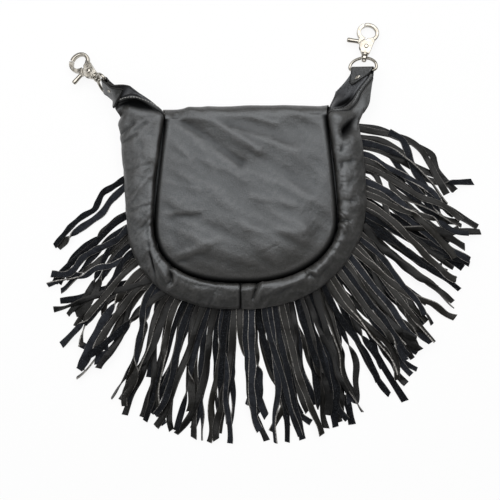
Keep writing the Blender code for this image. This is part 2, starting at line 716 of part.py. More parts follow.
def trigger(side_name, holder, material):
    """Gate that closes the ring's open side, its hub between the cheeks, and the thumb lever.

    It is drawn about its pivot.
    """
    name = "trigger_" + side_name
    ring_y = RING_Y - PIVOT_Y
    lever_y = LEVER_Y - PIVOT_Y
    out_width, in_width = (RING_HALF_WIDTH + way * RING_WIDTH / 2 for way in (1, -1))
    out_height, in_height = (RING_HALF_HEIGHT + way * RING_WIDTH / 2 for way in (1, -1))
    concentric = CHEEK_RADIUS + 1.5 * GAP
    gate = np.concatenate(
        [
            arc(out_width, out_height, 121.0, 226.0, 9, ring_y),
            [(-LEVER_ROOT - 2 * GAP, lever_y + LEVER_RADIUS * 0.8)],
            [(-LEVER_ROOT - 2 * GAP, lever_y - LEVER_RADIUS * 0.8)],
            arc(concentric, concentric, 160.0, 112.0, 5),
            arc(in_width, in_height, 254.0, 121.0, 10, ring_y),
        ]
    )
    half = RING_THICKNESS / 2
    item = plate(name, gate, -half, half, material, holder)
    web = (
        (-LEVER_ROOT, lever_y - LEVER_RADIUS * 0.7),
        (-HUB_RADIUS * 0.72, -HUB_RADIUS * 0.62),
        (HUB_RADIUS * 0.62, HUB_RADIUS * 0.72),
        (-HUB_RADIUS * 0.7, CHEEK_RADIUS * 1.1),
        (-LEVER_ROOT, lever_y + LEVER_RADIUS * 0.7),
    )
    thin = WEB_THICKNESS / 2
    inset = thin - WEB_INSET
    boolean(item, plate(name + "_web", web, -inset, inset, material, holder), "UNION")
    boolean(item, rod(name + "_hub", HUB_RADIUS, -thin, thin, 14, material, holder), "UNION")
    lever = (
        (LEVER_RADIUS * 0.9, -LEVER_ROOT),
        (LEVER_RADIUS * 0.92, -LEVER_END * 0.7),
        (LEVER_RADIUS, -LEVER_END * 0.93),
        (LEVER_RADIUS * 0.72, -LEVER_END),
    )
    centre = (0.0, lever_y, 0.0)
    boolean(item, turned(name + "_lever", lever, 10, material, holder, ALONG_X, centre), "UNION")
    pin = PIVOT_RADIUS + PIVOT_CLEARANCE
    boolean(item, rod(name + "_pin", pin, -half, half, 10, material, holder), "DIFFERENCE")
    pocket = SPRING_RADIUS + SPRING_WIRE_RADIUS + GAP
    floor = thin - SPRING_POCKET_DEPTH
    boolean(item, rod(name + "_pocket", pocket, floor, half, 12, material, holder), "DIFFERENCE")
    return item


def pivot_rivet(side_name, holder, material):
    """Headed pin that the trigger turns on."""
    face = BODY_THICKNESS / 2 + GAP
    crown = face + PIVOT_HEAD_HEIGHT
    half_profile = (
        (PIVOT_HEAD_RADIUS * 0.7, crown),
        (PIVOT_HEAD_RADIUS, face + PIVOT_HEAD_HEIGHT * 0.4),
        (PIVOT_HEAD_RADIUS, face),
        (PIVOT_RADIUS, face),
    )
    profile = half_profile + tuple((radius, -height) for radius, height in reversed(half_profile))
    return turned("pivot_rivet_" + side_name, profile, 8, material, holder)


def trigger_spring(side_name, holder, material):
    """Small coil spring in the trigger's hub pocket, round the rivet."""
    steps = 8 * SPRING_TURNS
    angles = np.linspace(0.0, 2 * math.pi * SPRING_TURNS, steps + 1)
    start = WEB_THICKNESS / 2 - SPRING_POCKET_DEPTH + GAP + SPRING_WIRE_RADIUS
    heights = start + SPRING_PITCH * angles / (2 * math.pi)
    helix = np.stack([SPRING_RADIUS * np.cos(angles), SPRING_RADIUS * np.sin(angles), heights], axis=1)
    section = circle_section(SPRING_WIRE_RADIUS, 5)
    return swept("trigger_spring_" + side_name, helix, section, material, holder)


def hanger_tab(side_name, side, clasp, material):
    """Strap folded round the eye's bar with the ear between its legs. The upper leg ends in a point."""
    turn = np.radians((-90, -45, 0, 45, 90))
    wrap = list(zip(TAB_WRAP * np.cos(turn), TAB_WRAP * np.sin(turn)))
    near = -EAR_END
    lower = [(-TAB_LENGTH, -TAB_LEG), (-TAB_LENGTH / 2, -TAB_LEG), (near, -TAB_LEG)]
    upper = [(near, TAB_LEG)] + [(-TAB_LENGTH * share, TAB_LEG) for share in (0.42, 0.68, 0.84)]
    path = np.array(lower + wrap + upper)
    half = TAB_WIDTH / 2
    # The edge nearer the bag's middle runs straight, and the other is cut back to the point
    inner_edge = np.full(len(path), half)
    outer_edge = np.full(len(path), -half)
    inner_edge[-1] = half * 0.84
    outer_edge[-4:] = (-half, -half * 0.5, half * 0.36, half * 0.66)
    columns = np.array([outer_edge, (outer_edge + inner_edge) / 2, inner_edge]).T * -side
    grid = np.zeros((len(path), 3, 3))
    grid[:, :, 0] = columns
    grid[:, :, 1] = path[:, :1]
    grid[:, :, 2] = path[:, 1:]
    name = "hanger_tab_" + side_name
    tab = sheet_object(name, grid, TAB_LEATHER, material, clasp["eye"])
    boolean(tab, rivet_cutter(name + "_rivet_hole", side, clasp, material), "DIFFERENCE")
    return tab


def tab_rivet(side_name, side, clasp, material):
    """Rivet through the tab and the ear, with a lozenge head above and a round one below."""
    centre = Vector((-side * TAB_RIVET_X, TAB_RIVET_Y, 0.0))
    face = TAB_FACE + GAP
    shank = (
        (TAB_RIVET_BACK_RADIUS * 0.8, -face - TAB_RIVET_HEAD_HEIGHT),
        (TAB_RIVET_BACK_RADIUS, -face - TAB_RIVET_HEAD_HEIGHT * 0.4),
        (TAB_RIVET_BACK_RADIUS, -face),
        (TAB_RIVET_RADIUS, -face),
        (TAB_RIVET_RADIUS, face + TAB_RIVET_HEAD_HEIGHT / 2),
    )
    name = "tab_rivet_" + side_name
    rivet = turned(name, shank, 10, material, clasp["eye"], centre=centre)
    turn = Matrix.Rotation(math.radians(TAB_RIVET_HEAD_TURN * side), 2)
    rings = []
    for scale, rise in ((1.0, 0.0), (1.0, 0.35), (0.6, 1.0)):
        for angle in np.radians(np.arange(0, 360, 30)):
            reach = scale / (abs(math.cos(angle)) + abs(math.sin(angle))) ** 0.8
            along = TAB_RIVET_HEAD_LENGTH / 2 * reach * math.cos(angle)
            across = TAB_RIVET_HEAD_WIDTH / 2 * reach * math.sin(angle)
            flat = turn @ Vector((along, across)) + centre.xy
            rings.append((*flat, face + TAB_RIVET_HEAD_HEIGHT * rise))
    faces = grid_faces(3, 12, wrap_columns=True) + [tuple(range(12)), tuple(range(24, 36))]
    boolean(rivet, mesh_object(name + "_head", rings, faces, material, clasp["eye"]), "UNION")
    return rivet


def build():
    clear_scene()
    smooth_leather = finish("black_leather", (0.020, 0.020, 0.022), 0.42, 0.0)
    fringe_leather = finish("fringe_leather", (0.016, 0.016, 0.018), 0.55, 0.0)
    nickel = finish("nickel_plate", (0.72, 0.70, 0.66), 0.16, 1.0)
    steel = finish("spring_steel", (0.45, 0.45, 0.46), 0.3, 1.0)
    back_panel_and_flap(smooth_leather)
    front_panel(smooth_leather)
    seam_piping(smooth_leather)
    upper = (UPPER_STRANDS, UPPER_HEADER_Z, UPPER_STRAND_Z, UPPER_HEADINGS)
    lower = (LOWER_STRANDS, LOWER_HEADER_Z, LOWER_STRAND_Z, LOWER_HEADINGS)
    fringe_comb("fringe_upper", *upper, 3, fringe_leather)
    fringe_comb("fringe_lower", *lower, 5, fringe_leather)
    snap(steel)
    for side, side_name in ((1, "right"), (-1, "left")):
        clasp = clasp_axes(side, side_name)
        gusset_half("gusset_" + side_name, side, clasp, smooth_leather)
        swivel_eye(side_name, clasp["eye"], nickel)
        swivel_post(side_name, clasp["swivel"], nickel)
        hook_body(side_name, clasp["swivel"], nickel)
        trigger(side_name, clasp["pivot"], nickel)
        pivot_rivet(side_name, clasp["pivot"], nickel)
        trigger_spring(side_name, clasp["pivot"], steel)
        hanger_tab(side_name, side, clasp, smooth_leather)
        tab_rivet(side_name, side, clasp, nickel)


build()
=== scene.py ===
"""Looks of the fringed leather hip bag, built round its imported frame. Sizes are metres."""
import json
import math

import bmesh
import bpy
import numpy as np
from mathutils import Matrix, Vector


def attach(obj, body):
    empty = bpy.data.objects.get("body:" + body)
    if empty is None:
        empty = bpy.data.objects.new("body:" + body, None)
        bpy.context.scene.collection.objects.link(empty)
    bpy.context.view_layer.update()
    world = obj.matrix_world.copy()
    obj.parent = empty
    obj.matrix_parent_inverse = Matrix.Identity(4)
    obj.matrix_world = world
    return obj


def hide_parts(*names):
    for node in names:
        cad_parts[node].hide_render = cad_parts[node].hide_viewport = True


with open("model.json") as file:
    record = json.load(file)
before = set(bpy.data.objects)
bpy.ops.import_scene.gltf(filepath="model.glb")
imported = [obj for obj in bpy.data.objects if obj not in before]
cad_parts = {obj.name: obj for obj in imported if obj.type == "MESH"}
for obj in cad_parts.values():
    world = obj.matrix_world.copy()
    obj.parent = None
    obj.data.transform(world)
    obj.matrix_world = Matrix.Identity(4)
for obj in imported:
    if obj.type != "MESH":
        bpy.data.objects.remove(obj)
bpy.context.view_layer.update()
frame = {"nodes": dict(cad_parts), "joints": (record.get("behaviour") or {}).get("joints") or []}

MM = 0.001

# The photo's frame, and the camera that looks straight down on the bag
PHOTO_SIDE = 500
PHOTO_WIDTH = 0.5
CAMERA_HEIGHT = 0.9
CAMERA_X = 0.004
CAMERA_Y = -0.050
SENSOR = 36.0

# The room: lamps with their power, size and place, and the floor
LAMPS = (
    ("key", 28.0, (2.2, 1.5), (0.10, 0.58, 1.30)),
    ("fill", 4.0, (0.8, 1.2), (-1.1, -0.1, 0.9)),
)
LAMP_AIM = (0.0, -0.05, 0.0)
FLOOR_WHITE = 0.90
FLOOR_HALF = 4.0
FLOOR_DROP = 0.0002

# Leather thicknesses and the gap between layers
LEATHER = 0.0014
FRINGE_LEATHER = 0.0012
TAB_LEATHER = 0.0016
GAP = 0.0003

# Back panel and flap
PANEL_HALF_WIDTH = 0.090
PANEL_TOP_HALF_WIDTH = 0.079
PANEL_CORNER_Y = -0.020
PANEL_BOTTOM_Y = -0.082
PANEL_RIM_Z = 0.019
PANEL_CROWN = 0.0088
FOLD_Y = 0.080
FOLD_SLOPE = 0.03
FOLD_RADIUS = 0.010
FLAP_HALF_WIDTH = 0.084
FLAP_CORNER_Y = -0.010
FLAP_BOTTOM_Y = -0.070
EDGE_ROLL = 0.0065
CROWN_AT = 0.24
FOLD_ARCH = 0.0015
PANEL_HALF_COLUMNS = 84
FACE_ROWS = 132
FOLD_ROWS = 24
FLAP_ROWS = 26

# Seam round the front panel
SEAM_HALF_WIDTH = 0.113
SEAM_TOP_RIGHT = 0.106
SEAM_TOP_LEFT = 0.119
SEAM_TOP_Y = 0.074
SEAM_BOTTOM_Y = -0.103
RIGHT_FULLNESS = 2.05
LEFT_FULLNESS = 2.6
FRONT_MARGIN = 0.002
PIPING_RADIUS = 0.0015
PIPING_OUT = 0.004
PIPING_LOW = 0.0011

# Gusset and ears
GUSSET_PUFF = 0.007
GUSSET_BULGE = 0.0056
GUSSET_SET_BACK = 0.0017
BOTTOM_SEAM_X = -0.0055
BOTTOM_SEAM_SHIFT = 0.16
BOTTOM_SEAM_PINCH = 0.0009
EAR_WIDTH = 0.024
EAR_FLAT_FROM = 0.023
EAR_END = 0.0045
EAR_PULL = 0.025
RIGHT_EAR_FLARE = 0.013
LEFT_EAR_FLARE = 0.005
LEFT_FOOT_BULGE = 0.010
RIGHT_FOOT_BULGE = 0.005
TWIST_FROM = 0.010
LEFT_EAR_TWIST = -46.0
RIGHT_EAR_TWIST = 0.0

# Heights that follow from the layers, from the table up
HEADER_LOW = 0.0033
FLAP_Z = LEATHER / 2
LOWER_HEADER_Z = HEADER_LOW + FRINGE_LEATHER / 2
UPPER_HEADER_Z = LOWER_HEADER_Z + FRINGE_LEATHER + GAP
FRONT_LOW_Z = UPPER_HEADER_Z + FRINGE_LEATHER / 2 + GAP
SEAM_Z = FRONT_LOW_Z + LEATHER + GAP + LEATHER / 2

# The gusset across its width: share of the way from panel to seam, share of the bulge beyond
# that, share of the height from seam to panel rim, and share of the puff above the rim
LEFT_GUSSET_PROFILE = (
    (0.0, 0.0, 0.50, 0.0),
    (0.0, 0.0, 0.90, 0.25),
    (0.0, 0.10, 1.0, 0.70),
    (0.02, 0.20, 1.0, 0.98),
    (0.10, 0.20, 1.0, 1.04),
    (0.25, 0.10, 1.0, 1.02),
    (0.45, 0.05, 1.0, 0.98),
    (0.65, 0.0, 1.0, 0.86),
    (0.83, 0.15, 1.0, 0.60),
    (0.95, 0.60, 0.94, 0.22),
    (1.0, 0.95, 0.66, 0.0),
    (1.0, 1.0, 0.42, 0.0),
    (1.0, 0.75, 0.18, 0.0),
    (1.0, 0.1, 0.0, 0.0),
)
RIGHT_GUSSET_PROFILE = (
    (0.0, 0.0, 0.50, 0.0),
    (0.0, 0.0, 0.88, 0.15),
    (0.0, 0.10, 1.0, 0.50),
    (0.03, 0.25, 1.0, 0.80),
    (0.10, 0.35, 1.0, 0.97),
    (0.25, 0.25, 1.0, 1.02),
    (0.45, 0.05, 1.0, 0.93),
    (0.65, 0.0, 1.0, 0.70),
    (0.83, 0.15, 1.0, 0.36),
    (0.95, 0.55, 0.88, 0.06),
    (1.0, 0.92, 0.62, 0.0),
    (1.0, 1.0, 0.42, 0.0),
    (1.0, 0.75, 0.18, 0.0),
    (1.0, 0.1, 0.0, 0.0),
)

# How far the gusset's outer flank sags at the bottom of the bag, and over how many rows
BOTTOM_SAG = 0.0024
BOTTOM_STATIONS = 150

# How far leather stands out where its paler crests (wear and painted highlight) are palest, how far it
# sinks where its painted shade is darkest, and how deep a pocket is where its painted shadow is black, in
# millimetres
SCUFF_AND_HIGHLIGHT_AT = 0.16
RECESS_SHADE_AT = 0.45
POCKET_DARK_AT = 5.5

# Where the ears' stitched seams run: rows from the ear's foot, and shares of its width
RIGHT_EAR_SEAM = ((0, 0.04), (3, 0.09), (8, 0.29), (12, 0.42), (23, 0.57), (37, 0.72), (45, 0.90), (48, 0.93))
LEFT_EAR_SEAM = (
    *((0, 0.06), (8, 0.13), (16, 0.17), (22, 0.22), (26, 0.32)),
    *((30, 0.46), (34, 0.62), (38, 0.82), (42, 0.92), (48, 0.95)),
)

# The dent beside each ear's seam: its rows from the ear's foot and millimetres from the seam, each
# as a middle and a half width, and its depth in millimetres
RIGHT_EAR_DENT = (20, 8.0, -7.0, 3.6, 3.4)
LEFT_EAR_DENT = (18, 16.0, 8.0, 5.5, 5.0)

# Stitches of the ears
STITCH_PITCH = 0.0028
STITCH_LENGTH = 0.0019
STITCH_RADIUS = 0.00048

# Sunk pockets in the gusset, as the photo's pixels, half length, half width and depth in
# millimetres, and the turn of the long way in degrees
GUSSET_POCKETS = (
    (347.5, 129.0, 9.0, 4.6, 6.0, 60.0),
    (354.5, 123.0, 7.0, 3.0, 3.6, 75.0),
    (341.0, 150.0, 3.0, 2.0, 1.6, 60.0),
    (340.5, 166.0, 3.0, 2.0, 1.5, 60.0),
    (340.5, 186.0, 3.0, 2.0, 1.4, 60.0),
    (171.0, 276.0, 4.5, 1.8, 3.0, -75.0),
    (152.0, 262.0, 14.0, 1.5, 4.0, 100.0),
    (309.5, 275.0, 4.0, 1.8, 2.2, 40.0),
    (255.5, 289.0, 6.0, 1.6, 2.6, 77.0),
    (342.0, 221.5, 4.0, 1.6, 2.2, 20.0),
)

# Clasp sizes, measured from the eye's bar
EYE_WIRE_RADIUS = 0.0015
EYE_SIDE_CLEARANCE = 0.0015
EYE_CORNER = 0.003
EYE_HEIGHT = 0.0125
COLLAR_RADIUS = 0.0036
COLLAR_HEIGHT = 0.0036
POST_RADIUS = 0.0015
POST_HEAD_RADIUS = 0.0023
POST_HEAD_HEIGHT = 0.0022
POST_CLEARANCE = 0.0003
POST_END = 0.0176
NECK_RADIUS = 0.0034
NECK_START = 0.0147
BODY_START = 0.0170
BODY_THICKNESS = 0.006
PIVOT_Y = 0.024
CHEEK_RADIUS = 0.0066
RING_Y = 0.0385
RING_HALF_WIDTH = 0.0092
RING_HALF_HEIGHT = 0.0080
RING_WIDTH = 0.0037
RING_THICKNESS = 0.005
SLOT_HALF = 0.0017
SLOT_EDGE = 0.0001
WEB_THICKNESS = 0.003
WEB_SHARE = 0.98
WEB_EDGE = 0.00005
HUB_RADIUS = 0.004
LEVER_RADIUS = 0.0024
LEVER_Y = 0.0283
LEVER_ROOT = 0.0078
LEVER_END = 0.0195
PIVOT_RADIUS = 0.001
PIVOT_CLEARANCE = 0.0002
PIVOT_HEAD_RADIUS = 0.0021
PIVOT_HEAD_HEIGHT = 0.0006
SPRING_RADIUS = 0.0021
SPRING_WIRE_RADIUS = 0.00025
SPRING_PITCH = 0.0006
SPRING_TURNS = 2
SPRING_POCKET_DEPTH = 0.0018
RING_SQUARENESS = 0.55
CAST_EDGE = 0.0005
BODY_EDGE = 0.0006
PROFILE_EDGE = 0.0004
CAST_SHARP = 38.0
TAB_WIDTH = 0.022
TAB_LENGTH = 0.020
TAB_EDGE = 0.0011
TONGUE_LIFT = 0.0007
TONGUE_END = 0.80
SQUARE_END = 1.05

# The tongue's two edges: shares of the tab's length, and of its half width at each
TONGUE_OUTER = ((0.10, 0.28, 0.46, 0.62, 0.74, 0.80), (-1.0, -0.66, -0.16, 0.22, 0.48, 0.74))
TONGUE_INNER = ((0.0, 0.62, 0.72, 0.80), (1.0, 1.0, 0.95, 0.82))

# The tab's rivet
TAB_RIVET_X = 0.003
TAB_RIVET_Y = -0.0085
TAB_RIVET_RADIUS = 0.0015
TAB_RIVET_HEAD_LENGTH = 0.0076
TAB_RIVET_HEAD_WIDTH = 0.0036
TAB_RIVET_HEAD_HEIGHT = 0.0009
TAB_RIVET_BACK_RADIUS = 0.003
TAB_RIVET_HEAD_TURN = 37.0

# The lozenge head's rings from its rim to its dimple, as shares of its size and of its height
TAB_RIVET_RINGS = (
    *((1.0, 0.0), (1.0, 0.3), (0.93, 0.55), (0.62, 0.95)),
    *((0.42, 1.0), (0.30, 0.9), (0.22, 0.45), (0.05, 0.42)),
)

# Sizes that follow from the others
EYE_INNER_HALF = TAB_WIDTH / 2 + EYE_SIDE_CLEARANCE
COLLAR_START = EYE_HEIGHT - COLLAR_HEIGHT / 2
TAB_LEG = LEATHER / 2 + GAP + TAB_LEATHER / 2
TAB_WRAP = EYE_WIRE_RADIUS + GAP + TAB_LEATHER / 2
TAB_FACE = TAB_LEG + TAB_LEATHER / 2

# Creases and dents in the back panel, as three pixels of the photo along each crest, with the
# half width and the height in millimetres
PANEL_CREASES = (
    ((188, 107), (222, 122), (258, 150), 7.0, 3.1),
    ((176, 118), (206, 134), (240, 162), 7.0, -3.3),
    ((168, 112), (190, 112), (206, 116), 5.0, -1.2),
    ((176, 216), (187, 217), (198, 215), 5.0, -1.3),
    ((270, 160), (292, 178), (312, 190), 8.0, -1.2),
    ((236, 128), (262, 138), (296, 150), 5.0, 1.3),
    ((208, 109), (240, 113), (276, 122), 4.5, 1.1),
    ((164, 118), (182, 113), (204, 119), 4.0, 1.0),
    ((196, 140), (206, 152), (214, 172), 6.0, 0.6),
    ((162, 130), (176, 142), (190, 160), 5.0, 0.6),
    ((252, 196), (270, 199), (292, 205), 6.0, 0.9),
    ((248, 228), (276, 233), (304, 231), 6.0, 1.0),
    ((163, 180), (180, 185), (197, 189), 4.5, 0.7),
    ((162, 213), (180, 214), (200, 211), 5.0, 0.8),
    ((188, 250), (204, 243), (218, 239), 4.5, 0.8),
    ((160, 259), (178, 256), (202, 249), 4.0, 1.2),
    ((176, 263), (180, 262), (184, 262), 2.5, -1.4),
    ((222, 172), (226, 173), (230, 175), 4.0, -0.4),
    ((300, 210), (316, 196), (326, 176), 7.0, 0.6),
    ((262, 253), (270, 248), (279, 244), 1.2, -0.25),
    ((250, 268), (254, 265), (258, 266), 1.6, -0.3),
    ((286, 268), (316, 254), (330, 222), 10.0, -1.6),
    ((164, 190), (170, 220), (176, 250), 8.0, -0.9),
)

# The same for the gusset: folds at its corners, wrinkles down its sides and pinched gathers
GUSSET_CREASES = (
    ((150, 250), (158, 264), (168, 280), 2.6, 2.4),
    ((170, 268), (172, 275), (170, 283), 2.4, -3.0),
    ((174, 270), (184, 272), (194, 277), 2.6, 1.5),
    ((178, 276), (176, 284), (168, 289), 2.2, 1.3),
    ((257, 282), (256, 291), (253, 300), 1.8, -2.6),
    ((263, 283), (261, 291), (257, 301), 2.4, 1.8),
    ((250, 283), (247, 290), (247, 298), 3.0, 0.8),
    ((264, 286), (284, 278), (304, 272), 2.6, 1.5),
    ((266, 293), (288, 284), (303, 279), 3.0, 1.2),
    ((303, 267), (309, 270), (316, 273), 2.0, 1.6),
    ((306, 272), (309, 275), (313, 277), 1.8, -1.7),
    ((316, 271), (328, 259), (338, 240), 3.0, 1.3),
    ((325, 247), (329, 247), (334, 250), 1.4, -0.9),
    ((333, 240), (337, 241), (341, 243), 1.4, -0.9),
    ((338, 224), (344, 223), (345, 231), 1.8, 2.0),
    ((338, 219), (343, 218), (349, 221), 2.2, -1.8),
    ((345, 130), (349, 127), (352, 124), 4.0, -3.6),
    ((342, 147), (346, 145), (350, 143), 3.5, -0.9),
    ((340, 163), (345, 162), (351, 162), 4.0, -1.5),
    ((338, 182), (345, 183), (352, 181), 1.6, -0.5),
    ((339, 202), (345, 200), (352, 201), 2.4, -1.0),
    ((352, 190), (358, 194), (362, 202), 3.0, 0.7),
    ((120, 133), (126, 129), (133, 123), 2.0, -1.3),
    ((122, 142), (129, 138), (136, 134), 2.0, -1.1),
    ((133, 130), (139, 127), (146, 123), 2.2, -0.8),
    ((124, 170), (136, 167), (150, 164), 2.0, -0.6),
    ((129, 202), (139, 189), (149, 177), 2.4, 0.9),
    ((131, 210), (141, 206), (152, 205), 2.0, -0.7),
    ((134, 232), (143, 226), (153, 224), 2.4, -0.6),
    ((214, 292), (212, 300), (208, 307), 2.4, -0.5),
    ((196, 288), (203, 290), (212, 289), 3.0, 0.8),
    ((226, 289), (236, 291), (246, 290), 2.6, 0.9),
    ((276, 296), (284, 292), (292, 287), 2.4, -0.6),
    ((320, 276), (327, 270), (334, 262), 2.6, -0.7),
)


class Number:
    """A shader value. Arithmetic on it adds Math nodes to its tree."""

    def __init__(self, tree, socket):
        self.tree = tree
        self.socket = socket

    def math(self, operation, *others, swap=False):
        node = self.tree.nodes.new("ShaderNodeMath")
        node.operation = operation
        values = (*others, self) if swap else (self, *others)
        for index, value in enumerate(values):
            if isinstance(value, Number):
                self.tree.links.new(value.socket, node.inputs[index])
            else:
                node.inputs[index].default_value = value
        return Number(self.tree, node.outputs[0])

    def __add__(self, other):
        return self.math("ADD", other)

    def __mul__(self, other):
        return self.math("MULTIPLY", other)

    def __sub__(self, other):
        return self.math("SUBTRACT", other)

    def __rsub__(self, other):
        return self.math("SUBTRACT", other, swap=True)

    def clip(self):
        node = self * 1.0
        node.socket.node.use_clamp = True
        return node

    __radd__ = __add__
    __rmul__ = __mul__


class Finish:
    """A material that is put together node by node."""

    def __init__(self, name):
        self.material = bpy.data.materials.new(name)
        self.material.use_nodes = True
        self.tree = self.material.node_tree
        self.tree.nodes.clear()
        self.shader = self.tree.nodes.new("ShaderNodeBsdfPrincipled")
        self.output = self.tree.nodes.new("ShaderNodeOutputMaterial")
        self.tree.links.new(self.shader.outputs[0], self.output.inputs["Surface"])

    def node(self, kind, settings=None, output=0, **sockets):
        """Adds a node: its settings first, then its sockets. Returns one of its outputs."""
        node = self.tree.nodes.new("ShaderNode" + kind)
        for name, value in (settings or {}).items():
            setattr(node, name, value)
        for name, value in sockets.items():
            self.feed(node, name.replace("_", " "), value)
        return Number(self.tree, node.outputs[output])

    def feed(self, node, name, value):
        socket = next(item for item in node.inputs if item.name == name and item.enabled)
        if isinstance(value, Number):
            self.tree.links.new(value.socket, socket)
        elif isinstance(value, tuple) and len(value) == 3 and socket.type == "RGBA":
            socket.default_value = (*value, 1.0)
        else:
            socket.default_value = value

    def set(self, **sockets):
        for name, value in sockets.items():
            self.feed(self.shader, name.replace("_", " "), value)

    def place(self, kind="Object"):
        return self.node("TexCoord", output=kind)

    def attribute(self, name):
        return self.node("Attribute", {"attribute_name": name}, output="Fac")

    def noise(self, where, scale, detail=2.0, roughness=0.5, distortion=0.0):
        return self.node(
            "TexNoise", Vector=where, Scale=scale, Detail=detail, Roughness=roughness, Distortion=distortion
        )

    def cells(self, where, scale):
        return self.node("TexVoronoi", {"feature": "F1"}, output="Distance", Vector=where, Scale=scale)

    def span(self, value, low, high):
        """The value's place between low and high, kept from 0 to 1."""
        return self.node("MapRange", {"clamp": True}, Value=value, From_Min=low, From_Max=high)

    def mix(self, share, first, second):
        """The second colour laid over the first by a share."""
        node = self.tree.nodes.new("ShaderNodeMix")
        node.data_type = "RGBA"
        for name, value in (("Factor", share), ("A", first), ("B", second)):
            self.feed(node, name, value)
        return Number(self.tree, next(item for item in node.outputs if item.enabled))

    def bump(self, height, depth, under=None):
        sockets = {"Height": height, "Distance": depth}
        if under is not None:
            sockets["Normal"] = under
        return self.node("Bump", **sockets)


def unit(vectors):
    return vectors / np.maximum(np.linalg.norm(vectors, axis=-1, keepdims=True), 1e-12)


def eased(share):
    """A share that leaves 0 and reaches 1 gently: three squares less two cubes."""
    share = np.clip(share, 0, 1)
    return share**2 * (3 - 2 * share)


def bell(offset, width):
    """A bell curve of height 1: the exponential of the offset in widths, squared and negative."""
    return np.exp(-((offset / width) ** 2))


def round_crest(square):
    """A round crest with long flanks, from the square of the offset in half widths."""
    return np.exp(1 - np.sqrt(1 + 3 * square))


def plan(pixels, height=0.0):
    """Plan places of pixels of the photo, for points at a height above the table."""
    metres = PHOTO_WIDTH / PHOTO_SIDE * (1 - height / CAMERA_HEIGHT)
    offset = (np.asarray(pixels, float) - PHOTO_SIDE / 2) * (metres, -metres)
    return offset + (CAMERA_X, CAMERA_Y)


def along_curve(points):
    """How far along a curve each of its points lies."""
    steps = np.linalg.norm(np.diff(points, axis=0), axis=1)
    return np.concatenate([[0.0], np.cumsum(steps)])


def evenly(curve, shares):
    """Points at shares of a curve's length."""
    along = along_curve(curve)
    wanted = np.asarray(shares) * along[-1]
    return np.stack([np.interp(wanted, along, curve[:, axis]) for axis in range(curve.shape[1])], axis=1)


def smooth_curve(points, count):
    """A Catmull-Rom curve through the points, read at equal steps of its length."""
    points = np.asarray(points, float)
    held = np.concatenate([2 * points[:1] - points[1:2], points, 2 * points[-1:] - points[-2:-1]])
    part = np.linspace(0.0, 1.0, 16, endpoint=False)[:, None]
    runs = []
    for first, start, end, last in zip(held, held[1:], held[2:], held[3:]):
        turn = 2 * first - 5 * start + 4 * end - last
        bend = 3 * start - first - 3 * end + last
        runs.append(start + 0.5 * (part * (end - first) + part**2 * turn + part**3 * bend))
    return evenly(np.concatenate([*runs, points[-1:]]), np.linspace(0.0, 1.0, count))


def side_curve(half_width, top_half_width, corner_y, bottom_y, top_y, fullness, offset):
    """One side of a U, from its lowest point round a superellipse corner and up to its top."""
    angle = np.linspace(0.0, math.pi / 2, 120)
    corner_x = half_width * np.sin(angle) ** (2 / fullness)
    corner = corner_y + (bottom_y - corner_y) * np.cos(angle) ** (2 / fullness)
    rise = np.linspace(0.0, 1.0, 60)[1:]
    side_x = half_width + (top_half_width - half_width) * rise**1.5
    side = corner_y + (top_y - corner_y) * rise
    curve = np.stack([np.append(corner_x, side_x), np.append(corner, side)], axis=1)
    curve = evenly(curve, np.linspace(0.0, 1.0, 400))
    ahead = np.gradient(curve, axis=0)
    outward = np.stack([ahead[:, 1], -ahead[:, 0]], axis=1)
    outward[0] = (0.0, -1.0)
    return curve + offset * unit(outward)


def panel_side(side, shares, offset=0.0):
    """Points on the back panel's edge, from the bottom centre to the fold."""
    fullness = RIGHT_FULLNESS if side > 0 else LEFT_FULLNESS
    curve = side_curve(
        PANEL_HALF_WIDTH, PANEL_TOP_HALF_WIDTH, PANEL_CORNER_Y, PANEL_BOTTOM_Y, FOLD_Y, fullness, offset
    )
    return evenly(curve, shares) * (side, 1)


def seam_side(side, shares, offset=0.0):
    """Points on the front seam, from the bottom centre to the top corner."""
    fullness = RIGHT_FULLNESS if side > 0 else LEFT_FULLNESS
    top = SEAM_TOP_RIGHT if side > 0 else SEAM_TOP_LEFT
    curve = side_curve(SEAM_HALF_WIDTH, top, 0.0, SEAM_BOTTOM_Y, SEAM_TOP_Y, fullness, offset)
    return evenly(curve, shares) * (side, 1)


def flap_side(side, shares, offset=0.0):
    """Points on the flap's edge, from the bottom centre to the fold."""
    curve = side_curve(
        FLAP_HALF_WIDTH, FLAP_HALF_WIDTH, FLAP_CORNER_Y, FLAP_BOTTOM_Y, FOLD_Y, RIGHT_FULLNESS, offset
    )
    return evenly(curve, shares) * (side, 1)


def whole_seam(count, offset=0.0):
    """The front seam from the right top corner, round the bottom, to the left top corner."""
    right = seam_side(1, np.linspace(1.0, 0.0, count), offset)
    left = seam_side(-1, np.linspace(0.0, 1.0, count), offset)
    return np.concatenate([right, left[1:]])


def corner_row(side_points, corner_y):
    """The round part of a U's edge, from its left corner to its right one."""
    row = []
    for side in (-1, 1):
        dense = side_points(side, np.linspace(0.0, 1.0, 800))
        shares = np.linspace(0.0, 1.0, PANEL_HALF_COLUMNS + 1)
        points = evenly(dense[dense[:, 1] <= corner_y], shares)
        row.append(points[::-1] if side < 0 else points[1:])
    return np.concatenate(row)


def grid_faces(rows, columns, wrap_rows=False, wrap_columns=False):
    """The quads of a grid of points, as an array, joined end to end where asked."""
    row = np.arange(rows if wrap_rows else rows - 1)[:, None]
    column = np.arange(columns if wrap_columns else columns - 1)[None]
    below, beside = (row + 1) % rows, (column + 1) % columns
    size = (len(row), column.size)
    places = ((row, column), (row, beside), (below, beside), (below, column))
    quads = [np.broadcast_to(at * columns + across, size) for at, across in places]
    return np.stack(quads, axis=-1).reshape(-1, 4)


def copied_faces(faces, size, count):
    """The faces of a shape of so many points, for each of its copies in turn."""
    return [[corner + size * index for corner in face] for index in range(count) for face in faces]


